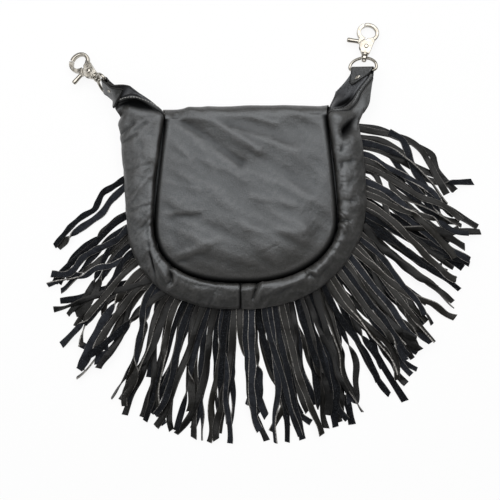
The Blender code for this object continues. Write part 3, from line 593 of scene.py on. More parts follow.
def mesh_piece(name, points, faces, finishes, finish_index=None, attributes=None, sharp=50.0):
    """An object from points and faces, with its finishes and its attributes."""
    mesh = bpy.data.meshes.new(name)
    faces = [list(map(int, face)) for face in faces]
    mesh.from_pydata(np.asarray(points, float).reshape(-1, 3).tolist(), [], faces)
    for finish in finishes:
        mesh.materials.append(finish)
    if finish_index is not None:
        mesh.polygons.foreach_set("material_index", np.asarray(finish_index, np.int32))
    for key, values in (attributes or {}).items():
        layer = mesh.attributes.new(key, "FLOAT", "POINT")
        layer.data.foreach_set("value", np.asarray(values, np.float32).ravel())
    mesh.update()
    mesh.shade_smooth()
    mesh.set_sharp_from_angle(angle=math.radians(sharp))
    item = bpy.data.objects.new(name, mesh)
    bpy.context.scene.collection.objects.link(item)
    return item


def sheet_piece(name, grid, thickness, finishes, attributes=None):
    """A sheet of leather from its middle surface: face first, then flesh side, then cut edge."""
    faces = grid_faces(*grid.shape[:2])
    item = mesh_piece(name, grid, faces, finishes, attributes=attributes, sharp=80.0)
    solid = item.modifiers.new("leather", "SOLIDIFY")
    solid.thickness = thickness
    solid.offset = 0.0
    solid.material_offset = 1
    solid.material_offset_rim = 2
    return item


def normals_of(grid):
    """Unit normals of a grid of points, turned to the side that most of them rise to."""
    normals = unit(np.cross(np.gradient(grid, axis=0), np.gradient(grid, axis=1)))
    return normals if normals[..., 2].sum() > 0 else -normals


def looking_up(grid, marks, part=slice(None)):
    """A grid and its marks, with the columns turned round if some rows' faces look down."""
    rows = grid[part]
    down = np.cross(np.gradient(rows, axis=0), np.gradient(rows, axis=1))[..., 2].sum()
    if down < 0:
        return grid, marks
    return grid[:, ::-1], {key: values[:, ::-1] for key, values in marks.items()}


def in_place_of(item, node, body="bag"):
    """The piece rides on its body, and stands in place of its node, which is hidden."""
    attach(item, body)
    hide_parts(node)


def blurred(values, rounds):
    """Values on a grid after rounds of averaging with their neighbours."""
    for _ in range(rounds):
        held = np.pad(values, 1, mode="edge")
        values = (held[:-2, 1:-1] + held[2:, 1:-1] + held[1:-1, :-2] + held[1:-1, 2:]) / 4
    return values


def waves(places, pitch, seed, count=28):
    """Smooth random relief of about -1 to 1: a sum of sine waves in random directions."""
    chance = np.random.default_rng(seed)
    heading = chance.uniform(0, 2 * math.pi, count)
    rate = 2 * math.pi / (pitch * chance.uniform(0.65, 1.7, count))
    phase = chance.uniform(0, 2 * math.pi, count)
    angle = places[..., 0, None] * rate * np.cos(heading) + places[..., 1, None] * rate * np.sin(heading)
    return np.sin(angle + phase).sum(axis=-1) / math.sqrt(count)


def creased(places, creases, height):
    """Relief of creases: each falls away from its crest, which is a quadratic curve of three points."""
    total = np.zeros(places.shape[:-1])
    step = np.linspace(0.0, 1.0, 60)[:, None]
    for *crest, half_width, rise in creases:
        start, middle, end = plan(crest, height)
        line = start * (1 - step) ** 2 + 2 * middle * step * (1 - step) + end * step**2
        away = np.full(places.shape[:-1], 1.0)
        for point in line:
            away = np.minimum(away, ((places - point) ** 2).sum(axis=-1))
        total += rise * MM * round_crest(away / (half_width * MM) ** 2)
    return total


def pleats(along, across, seed, count, length, spread):
    """Small gathers that run across a strip from one edge, at random places along it."""
    chance = np.random.default_rng(seed)
    total = np.zeros(along.shape)
    for _ in range(count):
        middle = chance.uniform(*spread)
        lean = chance.uniform(-0.7, 0.7)
        width = chance.uniform(0.9, 2.4) * MM
        reach = chance.uniform(0.3, 1.0) * length
        depth = chance.uniform(0.15, 0.6) * MM * chance.choice((-1.0, 1.0))
        off = (along - middle - lean * across) / width
        total += depth * round_crest(off**2) * bell(across, reach)
    return total


def crest_and_recess_marks(grid, rounds=10):
    """How far each point stands out of the leather round it, as shares made paler on crests (wear and painted
    highlight) and darker in recesses (painted shade).
    """
    middle = np.stack([blurred(grid[..., axis], rounds) for axis in range(3)], axis=-1)
    proud = ((grid - middle) * normals_of(grid)).sum(axis=-1) / MM
    return {"scuff_and_highlight": np.clip(proud / SCUFF_AND_HIGHLIGHT_AT, 0, 1), "recess_shade": np.clip(-proud / RECESS_SHADE_AT, 0, 1)}


def tube(path, section, wrap=False):
    """A section carried along a path: points of a grid, row by row. Its first axis lies level."""
    path = np.asarray(path, float)
    ahead = (np.roll(path, -1, axis=0) - np.roll(path, 1, axis=0)) if wrap else np.gradient(path, axis=0)
    ahead = unit(ahead)
    level = unit(np.stack([ahead[:, 1], -ahead[:, 0], np.zeros(len(path))], axis=1))
    rise = np.cross(level, ahead)
    return path[:, None] + level[:, None] * section[None, :, :1] + rise[:, None] * section[None, :, 1:]


def tube_faces(rows, columns, wrap=False):
    """The faces of a tube's grid, with a cap on each end or joined end to end."""
    faces = grid_faces(rows, columns, wrap_rows=wrap, wrap_columns=True).tolist()
    if not wrap:
        faces.append(list(range(columns))[::-1])
        faces.append(list(range((rows - 1) * columns, rows * columns)))
    return faces


def arc(half_width, half_height, start, end, count, centre_y=0.0):
    """Points of an ellipse about (0, centre_y), between two angles in degrees."""
    angles = np.radians(np.linspace(start, end, count))
    return np.stack([half_width * np.cos(angles), centre_y + half_height * np.sin(angles)], axis=1)


def circle(radius, sides):
    return arc(radius, radius, 0.0, 360.0 - 360.0 / sides, sides)


def stitch_shape():
    """A thread stitch of unit length along X, as a grid of points round it."""
    along = np.linspace(-0.5, 0.5, 7)
    girth = np.sqrt(np.clip(1 - (2 * along) ** 2, 0.02, 1))
    ring = circle(1.0, 6)
    points = np.zeros((len(along), len(ring), 3))
    points[..., 0] = along[:, None]
    points[..., 1] = girth[:, None] * ring[:, 0]
    points[..., 2] = girth[:, None] * ring[:, 1]
    return points


def stitches(name, places, ahead, normals, length, radius, finish):
    """A row of thread stitches, each lying along the seam at its place."""
    shape = stitch_shape()
    ahead = unit(ahead)
    beside = unit(np.cross(normals, ahead))
    up = np.cross(ahead, beside)
    offsets = (
        shape[None, ..., 0, None] * length * ahead[:, None, None]
        + shape[None, ..., 1, None] * radius * beside[:, None, None]
        + shape[None, ..., 2, None] * radius * up[:, None, None]
    )
    points = places[:, None, None] + offsets
    single = tube_faces(*shape.shape[:2])
    faces = copied_faces(single, shape.shape[0] * shape.shape[1], len(places))
    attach(mesh_piece(name, points, faces, [finish]), "bag")


def back_panel_surface():
    """The panel's crowned face with its creases, the round fold at the top, and the flap on the table.

    A row runs across; rows go from the bottom edge up to the fold and round it to the flap's end.
    The face is the rim's height, plus a crown that rises fast from the bottom and runs out level
    into the fold, less a roll along the sewn edges. Relief is laid on along the normals.
    """
    across = np.linspace(-1.0, 1.0, 2 * PANEL_HALF_COLUMNS + 1)
    corner = corner_row(panel_side, PANEL_CORNER_Y)
    top_x = across * PANEL_TOP_HALF_WIDTH
    top = np.stack([top_x, FOLD_Y + FOLD_SLOPE * top_x], axis=1)
    share = np.linspace(0.0, 1.0, FACE_ROWS)[:, None]
    flat = corner[None] * (1 - share[..., None]) + top[None] * share[..., None]
    fold_top = FLAP_Z + 2 * FOLD_RADIUS
    rim = PANEL_RIM_Z + (fold_top - PANEL_RIM_Z) * share
    rise = np.where(
        share < CROWN_AT,
        1 - np.abs(1 - share / CROWN_AT) ** 2.6,
        0.5 + 0.5 * np.cos(math.pi * (share - CROWN_AT) / (1 - CROWN_AT)),
    )
    crown = PANEL_CROWN * (1 - np.abs(across[None]) ** 2.6) * rise
    edge = np.concatenate([panel_side(-1, np.linspace(1, 0, 160)), panel_side(1, np.linspace(0, 1, 160))])
    away = np.sqrt(((flat[:, :, None] - edge[None, None]) ** 2).sum(axis=-1).min(axis=-1))
    roll = np.clip(1 - away / EDGE_ROLL, 0, 1)
    drop = EDGE_ROLL * (1 - np.sqrt(1 - 0.96 * roll**2)) * np.clip((1 - share) / 0.1, 0, 1)
    rows = [np.concatenate([flat, (rim + crown - drop)[..., None]], axis=-1)]
    calm = [np.clip(away / (3 * EDGE_ROLL), 0, 1)]
    angle = np.radians(np.linspace(84.0, -84.0, FOLD_ROWS))[:, None]
    widen = (1 - np.sin(angle)) / 2
    x = across[None] * (PANEL_TOP_HALF_WIDTH + (FLAP_HALF_WIDTH - PANEL_TOP_HALF_WIDTH) * widen)
    arch = FOLD_ARCH * np.clip(1 - (x / PANEL_TOP_HALF_WIDTH + 0.1) ** 2, 0, 1) * np.cos(angle)
    y = FOLD_Y + FOLD_SLOPE * x + FOLD_RADIUS * np.cos(angle) + arch
    z = FLAP_Z + FOLD_RADIUS + FOLD_RADIUS * np.sin(angle) + 0.0 * x
    rows.append(np.stack([x, y, z], axis=-1))
    calm.append(np.clip(1.2 * np.sin(angle) + 0.5, 0, 1) * np.clip((1 - np.abs(across[None])) / 0.1, 0, 1))
    flap_edge = corner_row(flap_side, FLAP_CORNER_Y)
    line_x = across * FLAP_HALF_WIDTH
    line = np.stack([line_x, FOLD_Y + FOLD_SLOPE * line_x], axis=1)
    share = np.linspace(1.0, 0.0, FLAP_ROWS)[:, None, None]
    flap = flap_edge[None] * (1 - share) + line[None] * share
    rows.append(np.concatenate([flap, np.full((*flap.shape[:2], 1), FLAP_Z)], axis=-1))
    calm.append(np.zeros(flap.shape[:2]))
    grid = np.concatenate(rows)
    relief = creased(grid[..., :2], PANEL_CREASES, PANEL_RIM_Z + PANEL_CROWN)
    slant = np.stack([0.35 * (grid[..., 0] - 0.6 * grid[..., 1]), 0.6 * grid[..., 0] + grid[..., 1]], axis=-1)
    for places, height, pitch, seed in (
        (slant, 0.85, 0.040, 5),
        (grid, 0.5, 0.045, 6),
        (slant, 0.23, 0.017, 7),
        (grid, 0.04, 0.0065, 8),
    ):
        relief += MM * height * waves(places, pitch, seed)
    # Painted shadow: a band along the sewn edges, near black at the crease beside the gusset
    shade = np.clip(1.3 - away / (0.7 * EDGE_ROLL), 0, 1)
    shade = np.concatenate([shade, np.zeros((len(grid) - len(shade), grid.shape[1]))])
    return grid + normals_of(grid) * (relief * np.concatenate(calm))[..., None], shade


def body_sheet(name, node, grid, marks, finishes, rests_on, part=slice(None)):
    """A sheet of the body from its middle surface, turned to look up and put in place of its node."""
    grid, marks = looking_up(grid, marks, part)
    item = sheet_piece(name, grid, LEATHER, finishes, marks)
    in_place_of(item, node)
    down = grid[1:, :-1] - grid[:-1, :-1]
    over = grid[:-1, 1:] - grid[:-1, :-1]


def back_panel(finishes):
    """The back panel with its fold and flap, with painted shadow in the gap beside the gusset."""
    grid, shade = back_panel_surface()
    marks = crest_and_recess_marks(grid)
    marks["shadow"] = shade
    marks["scuff_and_highlight"] = marks["scuff_and_highlight"] * (1 - shade)
    below = ["gusset_leather_left", "gusset_leather_right"]
    face = slice(0, FACE_ROWS)
    body_sheet("back_panel_leather", "back_panel_and_flap", grid, marks, finishes, below, face)


def front_panel(finishes):
    """The flat front panel under the bag: rows from one side of the U to the other."""
    seam = whole_seam(90, FRONT_MARGIN)
    half = len(seam) // 2
    right, left = seam[: half + 1], seam[half:][::-1]
    share = np.linspace(0.0, 1.0, 60)[None, :, None]
    flat = right[:, None] * (1 - share) + left[:, None] * share
    z = np.full((*flat.shape[:2], 1), FRONT_LOW_Z + LEATHER / 2)
    grid = np.concatenate([flat, z], axis=-1)[:-1]
    below = ["fringe_strands_upper"]
    body_sheet("front_panel_leather", "front_panel", grid, crest_and_recess_marks(grid), finishes, below)


def joint_frame(side_name):
    """A clasp's eye, hook and trigger frames: matrices with X across, Y along and Z up."""
    axes = {joint["name"]: joint for joint in frame["joints"]}
    swing, swivel, press = (axes[name + side_name] for name in ("eye_swing_", "swivel_", "trigger_press_"))
    along = Vector(swivel["axis"]).normalized()
    across = Vector(swing["axis"]).normalized()
    rise = Vector(press["axis"]).normalized()
    bar, pivot = Vector(swing["pos_m"]), Vector(press["pos_m"])
    return {
        "eye": square_frame(across, along, bar),
        "hook": square_frame(along.cross(rise), along, bar),
        "trigger": square_frame(along.cross(rise), along, pivot),
    }


def square_frame(x_axis, y_axis, origin):
    """A frame from its X and Y axes and its origin, as a matrix."""
    z_axis = x_axis.cross(y_axis)
    matrix = Matrix((x_axis, y_axis, z_axis)).transposed().to_4x4()
    matrix.translation = origin
    return matrix


def placed(points, matrix):
    """Points of a frame, brought into the row frame."""
    turn = np.array(matrix)
    return np.asarray(points, float) @ turn[:3, :3].T + turn[:3, 3]


def gusset_surface(side, clasp):
    """Half of the gusset from the bottom seam up its side, then its ear as far as the clasp's bar.

    A row is the gusset's section from panel to seam. Along the side the section follows both
    edges, and in the ear it passes by a Hermite blend into the flat strap between the tab's legs.
    """
    stations, lanes = 300, 76
    shares = np.linspace(0.0, 1.0, stations)
    inner = panel_side(side, shares, GUSSET_SET_BACK)
    outer = seam_side(side, shares)
    shift = eased(1 - shares / BOTTOM_SEAM_SHIFT)
    for line in (inner, outer):
        line[:, 0] += (BOTTOM_SEAM_X + side * GAP / 2) * shift
    outward = unit(outer - inner)
    table = smooth_curve(RIGHT_GUSSET_PROFILE if side > 0 else LEFT_GUSSET_PROFILE, lanes)
    lane = np.linspace(0.0, 1.0, lanes)
    beyond = table[:, 1] * GUSSET_BULGE
    flat = inner[:, None] + table[:, 0, None] * (outer - inner)[:, None]
    flat += beyond[:, None] * outward[:, None]
    height = SEAM_Z + table[:, 2] * (PANEL_RIM_Z - SEAM_Z) + table[:, 3] * GUSSET_PUFF
    height = np.broadcast_to(height, flat.shape[:2])
    strip = np.concatenate([flat, height[..., None]], axis=-1)
    cross, ahead, flat_up, bar = np.array(clasp["eye"])[:3].T
    flare = RIGHT_EAR_FLARE if side > 0 else LEFT_EAR_FLARE
    level = np.linspace(0.5, -0.5, lanes) * -side
    # The outer side bulges at the ear's foot
    bulge = LEFT_FOOT_BULGE if side < 0 else RIGHT_FOOT_BULGE
    straps = []
    for share in np.linspace(1.0, 0.0, 16):
        reach = EAR_END + (EAR_FLAT_FROM - EAR_END) * share
        width = EAR_WIDTH * level - side * flare * share**1.3 * np.linspace(1.0, 0.0, lanes)
        twist = ear_twist(side, reach)
        aside = math.cos(twist) * cross + math.sin(twist) * flat_up
        straps.append(bar - reach * ahead + width[:, None] * aside)
    rise = []
    outer_half = np.clip(2 * lane - 1, 0, 1)[:, None]
    for share in np.linspace(0.0, 1.0, 34)[1:-1]:
        weight = 2 * share**3 - 3 * share**2 + 1
        leave = np.array((0.0, EAR_PULL, 0.0)) * (share**3 - 2 * share**2 + share)
        arrive = ahead * EAR_PULL * (share**3 - share**2)
        swell = bulge * math.sin(math.pi * share) ** 2 * outer_half * side * cross
        rise.append(strip[-1] * weight + straps[0] * (1 - weight) + leave + arrive + swell)
    return np.concatenate([strip, np.array(rise), np.array(straps)]), stations, lane


def ear_twist(side, reach):
    """How far the ear and its tab are twisted about the strap, at a distance from the eye's bar."""
    share = (reach - TWIST_FROM) / (EAR_FLAT_FROM - TWIST_FROM)
    return math.radians(RIGHT_EAR_TWIST if side > 0 else LEFT_EAR_TWIST) * eased(share)


def sunk(places, pockets, height):
    """Depth of dents: each is a bell of its own length, width and turn about a pixel's place."""
    total = np.zeros(places.shape[:-1])
    for x, y, long_half, wide_half, depth, turn in pockets:
        off = places - plan((x, y), height)
        heading = math.radians(turn)
        along = off[..., 0] * math.cos(heading) + off[..., 1] * math.sin(heading)
        aside = off[..., 1] * math.cos(heading) - off[..., 0] * math.sin(heading)
        total += depth * MM * bell(along, long_half * MM) * bell(aside, wide_half * MM)
    return total


def ear_seam(side, stations, rows):
    """The seam's share of the ear's width at each row, and how far each row is in the ear."""
    table = np.array(RIGHT_EAR_SEAM if side > 0 else LEFT_EAR_SEAM, float)
    row = np.arange(rows) - stations
    return np.interp(row, table[:, 0], table[:, 1]), np.clip((row + 5) / 6.0, 0, 1)


def gusset(side, side_name, clasp, finishes, thread):
    """The puffed gusset half with its gathers and creases, and the ear with its seam and stitches.

    The ear's seam is a low ridge with a groove beside it. On the right a dent lies on its inner
    side, and on the left the leather falls away on its outer side.
    """
    grid, stations, lane = gusset_surface(side, clasp)
    normals = normals_of(grid)
    rows = np.arange(len(grid))
    along = along_curve(grid[:, len(lane) // 2])
    length = along[stations]
    width = np.linalg.norm(np.diff(grid, axis=1), axis=-1).sum(axis=1)
    across = lane[None] * width[:, None]
    along = np.broadcast_to(along[:, None], across.shape)
    body = np.clip((stations + 24 - rows) / 24.0, 0, 1)[:, None]
    edge = np.sin(math.pi * np.clip(lane, 0, 1)) ** 0.6
    pockets = sunk(grid[..., :2], GUSSET_POCKETS, PANEL_RIM_Z + GUSSET_PUFF / 2)
    pockets *= grid[..., 2] > SEAM_Z + 2 * LEATHER
    pinch = bell(along, 1.5 * MM)
    low = np.clip(1 - rows / BOTTOM_STATIONS, 0, 1)[:, None]
    sag = low * np.clip(np.sin(math.pi * np.clip(1.5 * lane - 0.35, 0, 1)), 0, 1)[None]
    relief = gusset_relief(side, grid, along, across - 0.16 * width[:, None], length)
    relief -= BOTTOM_SAG * sag + BOTTOM_SEAM_PINCH * pinch
    seam_lane, ear = ear_seam(side, stations, len(grid))
    ear = ear[:, None]
    off = (lane[None] - seam_lane[:, None]) * width[:, None] / MM
    ridge = 1.3 * bell(off, 1.2) - 0.8 * bell(off - 2.8, 1.1) - 0.7 * bell(off + 2.6, 1.2)
    row, row_width, column, column_width, depth = RIGHT_EAR_DENT if side > 0 else LEFT_EAR_DENT
    dent = bell(rows[:, None] - stations - row, row_width) * bell(off - column, column_width)
    rim = 0.5 * bell(across, 1.2 * MM)
    relief = relief * edge * body - pockets * edge + MM * (ridge - depth * dent + rim) * ear
    grid = grid + normals * relief[..., None]
    marks = crest_and_recess_marks(grid)
    # Painted shadow: near black in the crease beside the panel, in the sunk pockets and the ear's dent, along
    # both sides of the ear's seam and at the bottom seam's pinch
    shade = np.clip(1.3 - lane / 0.05, 0, 1)[None] * (1 - ear)
    shade = shade + pockets / (POCKET_DARK_AT * MM) + 1.6 * dent * ear
    shade = shade + 0.7 * bell(np.abs(off) - 2.6, 1.1) * ear + 0.8 * pinch
    marks["shadow"] = np.clip(shade, 0, 1)
    # Paler crests, and a pale line on the ear's seam ridge: wear and painted highlight, kept out of the
    # painted shadow
    scuff_and_highlight = marks["scuff_and_highlight"] * np.clip(0.35 + 6 * (lane - 0.16), 0.35, 1)[None]
    marks["scuff_and_highlight"] = np.clip(scuff_and_highlight + bell(off, 1.3) * ear, 0, 1) * (1 - marks["shadow"])
    marks["lining"] = np.clip(-off / 1.5, 0, 1) * ear
    ear_stitches("seam", side_name, grid, normals, seam_lane, stations - 2, thread)
    if side > 0:
        inner_edge = np.full(len(grid), 0.05)
        ear_stitches("edge", side_name, grid, normals, inner_edge, stations + 2, thread)
    name = "gusset_leather_" + side_name
    below = ["front_panel_leather"]
    body_sheet(name, "gusset_" + side_name, grid, marks, finishes, below)


def gusset_relief(side, grid, along, inner_edge, length):
    """Folds from the table, gathers that run in from the panel's edge, and waves of three sizes."""
    relief = creased(grid[..., :2], GUSSET_CREASES, PANEL_RIM_Z + GUSSET_PUFF)
    middle = (0.28 * length, 0.62 * length)
    relief += pleats(along, inner_edge, 11 + side, 14, 0.016, middle)
    relief += pleats(along, inner_edge, 21 + side, 9 if side < 0 else 18, 0.012, (0.0, length))
    for height, pitch, seed in ((0.55, 0.030, 31), (0.22, 0.012, 33), (0.07, 0.0045, 35)):
        relief += MM * height * waves(grid, pitch, seed + side)
    return relief


def ear_stitches(label, side_name, grid, normals, at, first, thread):
    """A row of stitches up the ear: it starts at a row, and lies at a share of each row's width."""
    rows = np.arange(len(grid))
    column = np.clip(at, 0.02, 0.98) * (grid.shape[1] - 1)
    low = np.floor(column).astype(int)
    part = (column - low)[:, None]
    route = grid[rows, low] * (1 - part) + grid[rows, low + 1] * part
    span = slice(first, len(grid) - 11)
    route, faces = route[span], normals[rows, low][span]
    count = int(along_curve(route)[-1] / STITCH_PITCH)
    share = (np.arange(count) + 0.5) / count
    places = evenly(route, share)
    ahead = evenly(route, np.minimum(share + 0.01, 1)) - evenly(route, np.maximum(share - 0.01, 0))
    nearest = ((route[None] - places[:, None]) ** 2).sum(axis=-1).argmin(axis=1)
    up = unit(faces[nearest])
    places = places + up * LEATHER / 2
    name = "ear_stitches_%s_%s" % (label, side_name)
    stitches(name, places, ahead, up, STITCH_LENGTH, STITCH_RADIUS, thread)


def seam_piping(finish):
    """A thin cord outside the seam, which rises and falls a little as a sewn one does."""
    path = whole_seam(150, PIPING_OUT)
    wave = 0.25 * MM * np.sin(np.linspace(0, 60, len(path)))
    path = np.column_stack([path, SEAM_Z - PIPING_LOW + wave])
    grid = tube(path, circle(PIPING_RADIUS, 12))
    item = mesh_piece("seam_piping_cord", grid, tube_faces(*grid.shape[:2]), [finish])
    in_place_of(item, "seam_piping")


# Fringe: two combs of strands. Headings are degrees, and lengths millimetres, at equal steps of
# the seam from its right top corner to its left side
LEFT_FRINGE_TOP_Y = 0.025
HEADER_INSET = 0.008
HEADER_OUT = 0.003
STRAND_WIDTH = 0.0063
STRAND_STEPS = 44
HEADINGS = (-29.0, -37.0, -44.0, -58.0, -80.0, -97.0, -110.0, -124.0, -136.0)
LENGTHS = (112.0, 116.0, 120.0, 128.0, 134.0, 130.0, 122.0, 104.0, 88.0)
DENSITY = (0.10, 0.75, 1.5, 1.5, 1.2, 1.15, 1.0, 0.6, 0.15)
LOWER_COUNT = 68
UPPER_COUNT = 64
BUNCH_SEED = 7

# How a strand wanders: waves along it, and how many degrees each swings
SWINGS = ((1.1, 12.0), (2.1, 8.0), (3.8, 4.0))

# A strand's section, and the least share of its strip that a comb's leather covers
SECTION_CORNERS = 9
LEAST_AREA = 0.31

# Shares of the strands: turned over, then edgewise, of which the later ones turn back again
TWISTED = 0.26
TURNED_BACK = 0.36
EDGEWISE = 0.50

# The pile: its grid, how close strands lie, how far a root hangs and how steeply a strand may
# slope, and the height above which the pile is pressed down to a share of itself
PILE_STEP = 0.001
PILE_CORNER = (-0.26, -0.29)
PILE_CELLS = (440, 540)
PILE_CLEARANCE = 0.00012
HANG_LENGTH = 0.024
STEEPEST = 0.34
PILE_LOOSE = 0.008
PILE_KEPT = 0.5

# Strands with routes of their own, as pixels along each from its root. Most follow a strand that
# lies apart in the photo, and the four from (364, 206) on fill its dense right side
STRAY_STRANDS = (
    (
        *((358, 127), (378, 129.4), (400, 139), (418, 146.3)),
        *((431.5, 154.8), (434, 163.3), (437.5, 173), (454.5, 191)),
    ),
    ((357, 129), (384, 134), (406, 140), (420.6, 151), (430, 167), (436, 180), (444.8, 194.8)),
    ((358, 138), (377, 139.7), (392.7, 147.5), (407, 158.5), (416, 172), (429, 181), (445, 183), (472, 182)),
    ((388, 133), (400, 139.7), (405.4, 150), (412, 168), (425, 188.7), (435, 207), (443.6, 226)),
    ((359, 145), (381.8, 145), (390.3, 154.8), (400, 170.6), (413.3, 187.5), (425.4, 202), (444.8, 228.7)),
    ((360, 160), (378, 168), (388, 178), (391, 188), (400, 197), (415.7, 204.5), (432.7, 213), (459.3, 226)),
    ((360, 169), (384, 173.6), (391.5, 177.8), (404.8, 187.5), (417, 196.6), (444.8, 208), (477, 227)),
    ((361, 166), (375, 176), (381, 196), (388, 222), (396, 228), (432.7, 229), (457, 231), (479, 232)),
    ((362, 178), (378, 190), (396, 199.6), (411, 210.5), (427.8, 225), (444.8, 236), (464, 247)),
    ((362, 184), (380.6, 194.8), (398.8, 213), (418, 228.7), (437.5, 243), (467.8, 260)),
    ((362, 200), (378, 215), (392.7, 230), (408.5, 238), (423, 245.7), (440, 259)),
    ((364, 206), (388, 224), (410, 236), (436, 247), (462, 262)),
    ((363, 215), (384, 236), (404, 252), (424, 262), (446, 272)),
    ((362, 225), (380, 246), (398, 262), (416, 276), (436, 286)),
    ((361, 232), (378, 256), (392, 276), (408, 290), (426, 303)),
    ((128, 178), (113, 187), (103, 193), (98, 203), (94, 210), (82, 217), (70, 228), (55, 246)),
    ((129, 184), (111.5, 200), (103, 212.4), (92, 221), (76.3, 231.8), (58.5, 248)),
    ((136, 220), (120, 237.8), (107.8, 245), (94.5, 251), (84, 258), (76, 269), (68, 274), (53, 273.6)),
    ((138, 226), (117.5, 245), (105.4, 256), (93.3, 265.7), (81, 273), (67, 278)),
    ((147, 249), (124.8, 259.6), (111.5, 265.7), (98, 268), (86, 276), (76.3, 278), (64, 280), (49, 285)),
    ((153, 276), (129.6, 282.6), (112.7, 286.3), (94.5, 292.3), (76.3, 298.4), (60.6, 300.8)),
    ((156, 279), (124.8, 288.7), (106.6, 292.3), (82.4, 300.8), (66, 307), (54.5, 309.3)),
    ((158, 281), (131, 286), (117.5, 294.8), (107.8, 302), (99, 308), (77, 309)),
    ((160, 283), (128, 291), (108, 300), (104, 318), (106, 335), (108, 349)),
    ((166, 290), (140, 312), (124, 331), (108, 352), (95, 349), (80, 343)),
    ((168, 290), (142, 308), (122, 329), (111.5, 338.4), (100, 348), (90, 355)),
    ((340, 262), (356, 286), (369, 312), (383, 330), (399, 343), (417, 352)),
    ((330, 270), (346, 300), (358, 330), (374, 352), (389, 376), (405, 401)),
    ((300, 292), (312, 330), (322, 362), (334, 392), (346, 400), (352, 424)),
    ((232, 305), (226, 340), (233, 372), (226, 395), (229, 423)),
    ((270, 300), (262, 338), (271, 372), (284, 400), (271, 431)),
)


def seam_line():
    """The stretch of the seam that holds the fringe, with its outward directions."""
    seam = whole_seam(400)
    seam = seam[: np.argmax((seam[:, 0] < 0) & (seam[:, 1] > LEFT_FRINGE_TOP_Y))]
    ahead = np.gradient(seam, axis=0)
    return seam, unit(np.stack([-ahead[:, 1], ahead[:, 0]], axis=1))


def bunched(share):
    """The middle of each strand's bunch along the seam, and how far the bunch leans in degrees."""
    chance = np.random.default_rng(BUNCH_SEED)
    ends = np.cumsum(chance.uniform(0.024, 0.062, 64))
    lean = chance.normal(0, 4.5, len(ends))
    member = np.searchsorted(ends, share)
    start = np.concatenate([[0.0], ends])[member]
    return (start + ends[member]) / 2, lean[member]


def combed_routes(count, chance):
    """Plan routes of strands that leave the seam, gather into bunches and bend to their headings.

    Each also wanders by three sine waves of its heading, and may hook at its end.
    """
    seam, outward = seam_line()
    seam_length = along_curve(seam)[-1]
    steps = np.linspace(0.0, 1.0, 100)
    crowd = np.cumsum(np.interp(steps, np.linspace(0.0, 1.0, len(DENSITY)), DENSITY))
    share = (np.arange(count) + 0.5 + chance.uniform(-0.3, 0.3, count)) / count
    share = 0.965 * np.interp(share, (crowd - crowd[0]) / (crowd[-1] - crowd[0]), steps)
    middle, lean = bunched(share)
    root = evenly(seam, share)
    square = unit(evenly(outward, share))
    square = np.arctan2(square[:, 1], square[:, 0])
    steps = np.linspace(0.0, 1.0, len(HEADINGS))
    heading = np.radians(np.interp(share, steps, HEADINGS) + lean + chance.normal(0, 5.5, count))
    length = np.interp(share, steps, LENGTHS) * MM
    length *= 1 + 0.10 * chance.normal(0, 1, count).clip(-2.2, 0.9)
    heading += 1.05 * (share - middle) * seam_length / length
    turn = (heading - square + math.pi) % (2 * math.pi) - math.pi
    part = np.linspace(0.0, 1.0, STRAND_STEPS)
    angle = square[:, None] + turn[:, None] * (0.15 + 0.85 * eased(part / 0.4))
    for pitch, swing in SWINGS:
        phase = chance.uniform(0, 2 * math.pi, (count, 1))
        reach = np.radians(swing) * chance.normal(0, 1, (count, 1)).clip(-1.8, 1.8)
        rate = 2 * math.pi * pitch * part * chance.uniform(0.7, 1.2, (count, 1))
        angle = angle + reach * np.sin(rate + phase) * part
    hook = np.radians(chance.normal(0, 16, (count, 1))) * np.clip((part - 0.6) / 0.4, 0, 1) ** 2
    angle = angle + hook
    step = length[:, None] / (STRAND_STEPS - 1)
    moves = np.stack([np.cos(angle), np.sin(angle)], axis=-1) * step[..., None]
    moves[:, 0] = 0.0
    start = root - 0.002 * np.stack([np.cos(square), np.sin(square)], axis=-1)
    return start[:, None] + np.cumsum(moves, axis=1)


def rolls(count, chance):
    """Each strand's roll about its length at each step: most lie nearly flat, some twist over."""
    part = np.linspace(0.0, 1.0, STRAND_STEPS)
    roll = np.radians(chance.normal(0, 14, (count, 1))) * part
    ripple = np.radians(chance.normal(0, 22, (count, 1))) * rippled(count, chance, 1.0, 2.6)
    start = chance.uniform(0.2, 0.75, (count, 1))
    rise = eased((part - start) / chance.uniform(0.15, 0.3, (count, 1)))
    kind = chance.uniform(0, 1, (count, 1))
    turn = np.where(kind < TWISTED, math.pi, np.where(kind < EDGEWISE, 1.2, 0.0))
    turn = turn * chance.choice((-1.0, 1.0), (count, 1))
    back = np.clip((part - start - 0.3) / 0.25, 0, 1)
    back = np.where((kind > TURNED_BACK) & (kind < EDGEWISE), back, 0.0)
    small = (roll + ripple * np.clip(part * 4, 0, 1)) * np.where(kind < TWISTED, 0.6, 1.0)
    return small + turn * rise * (1 - back)


def rippled(count, chance, fewest, most):
    """For each strand a sine wave along it, with its own number of turns and its own start."""
    part = np.linspace(0.0, 1.0, STRAND_STEPS)
    turns = chance.uniform(fewest, most, (count, 1))
    return np.sin(2 * math.pi * (turns * part + chance.uniform(0, 1, (count, 1))))


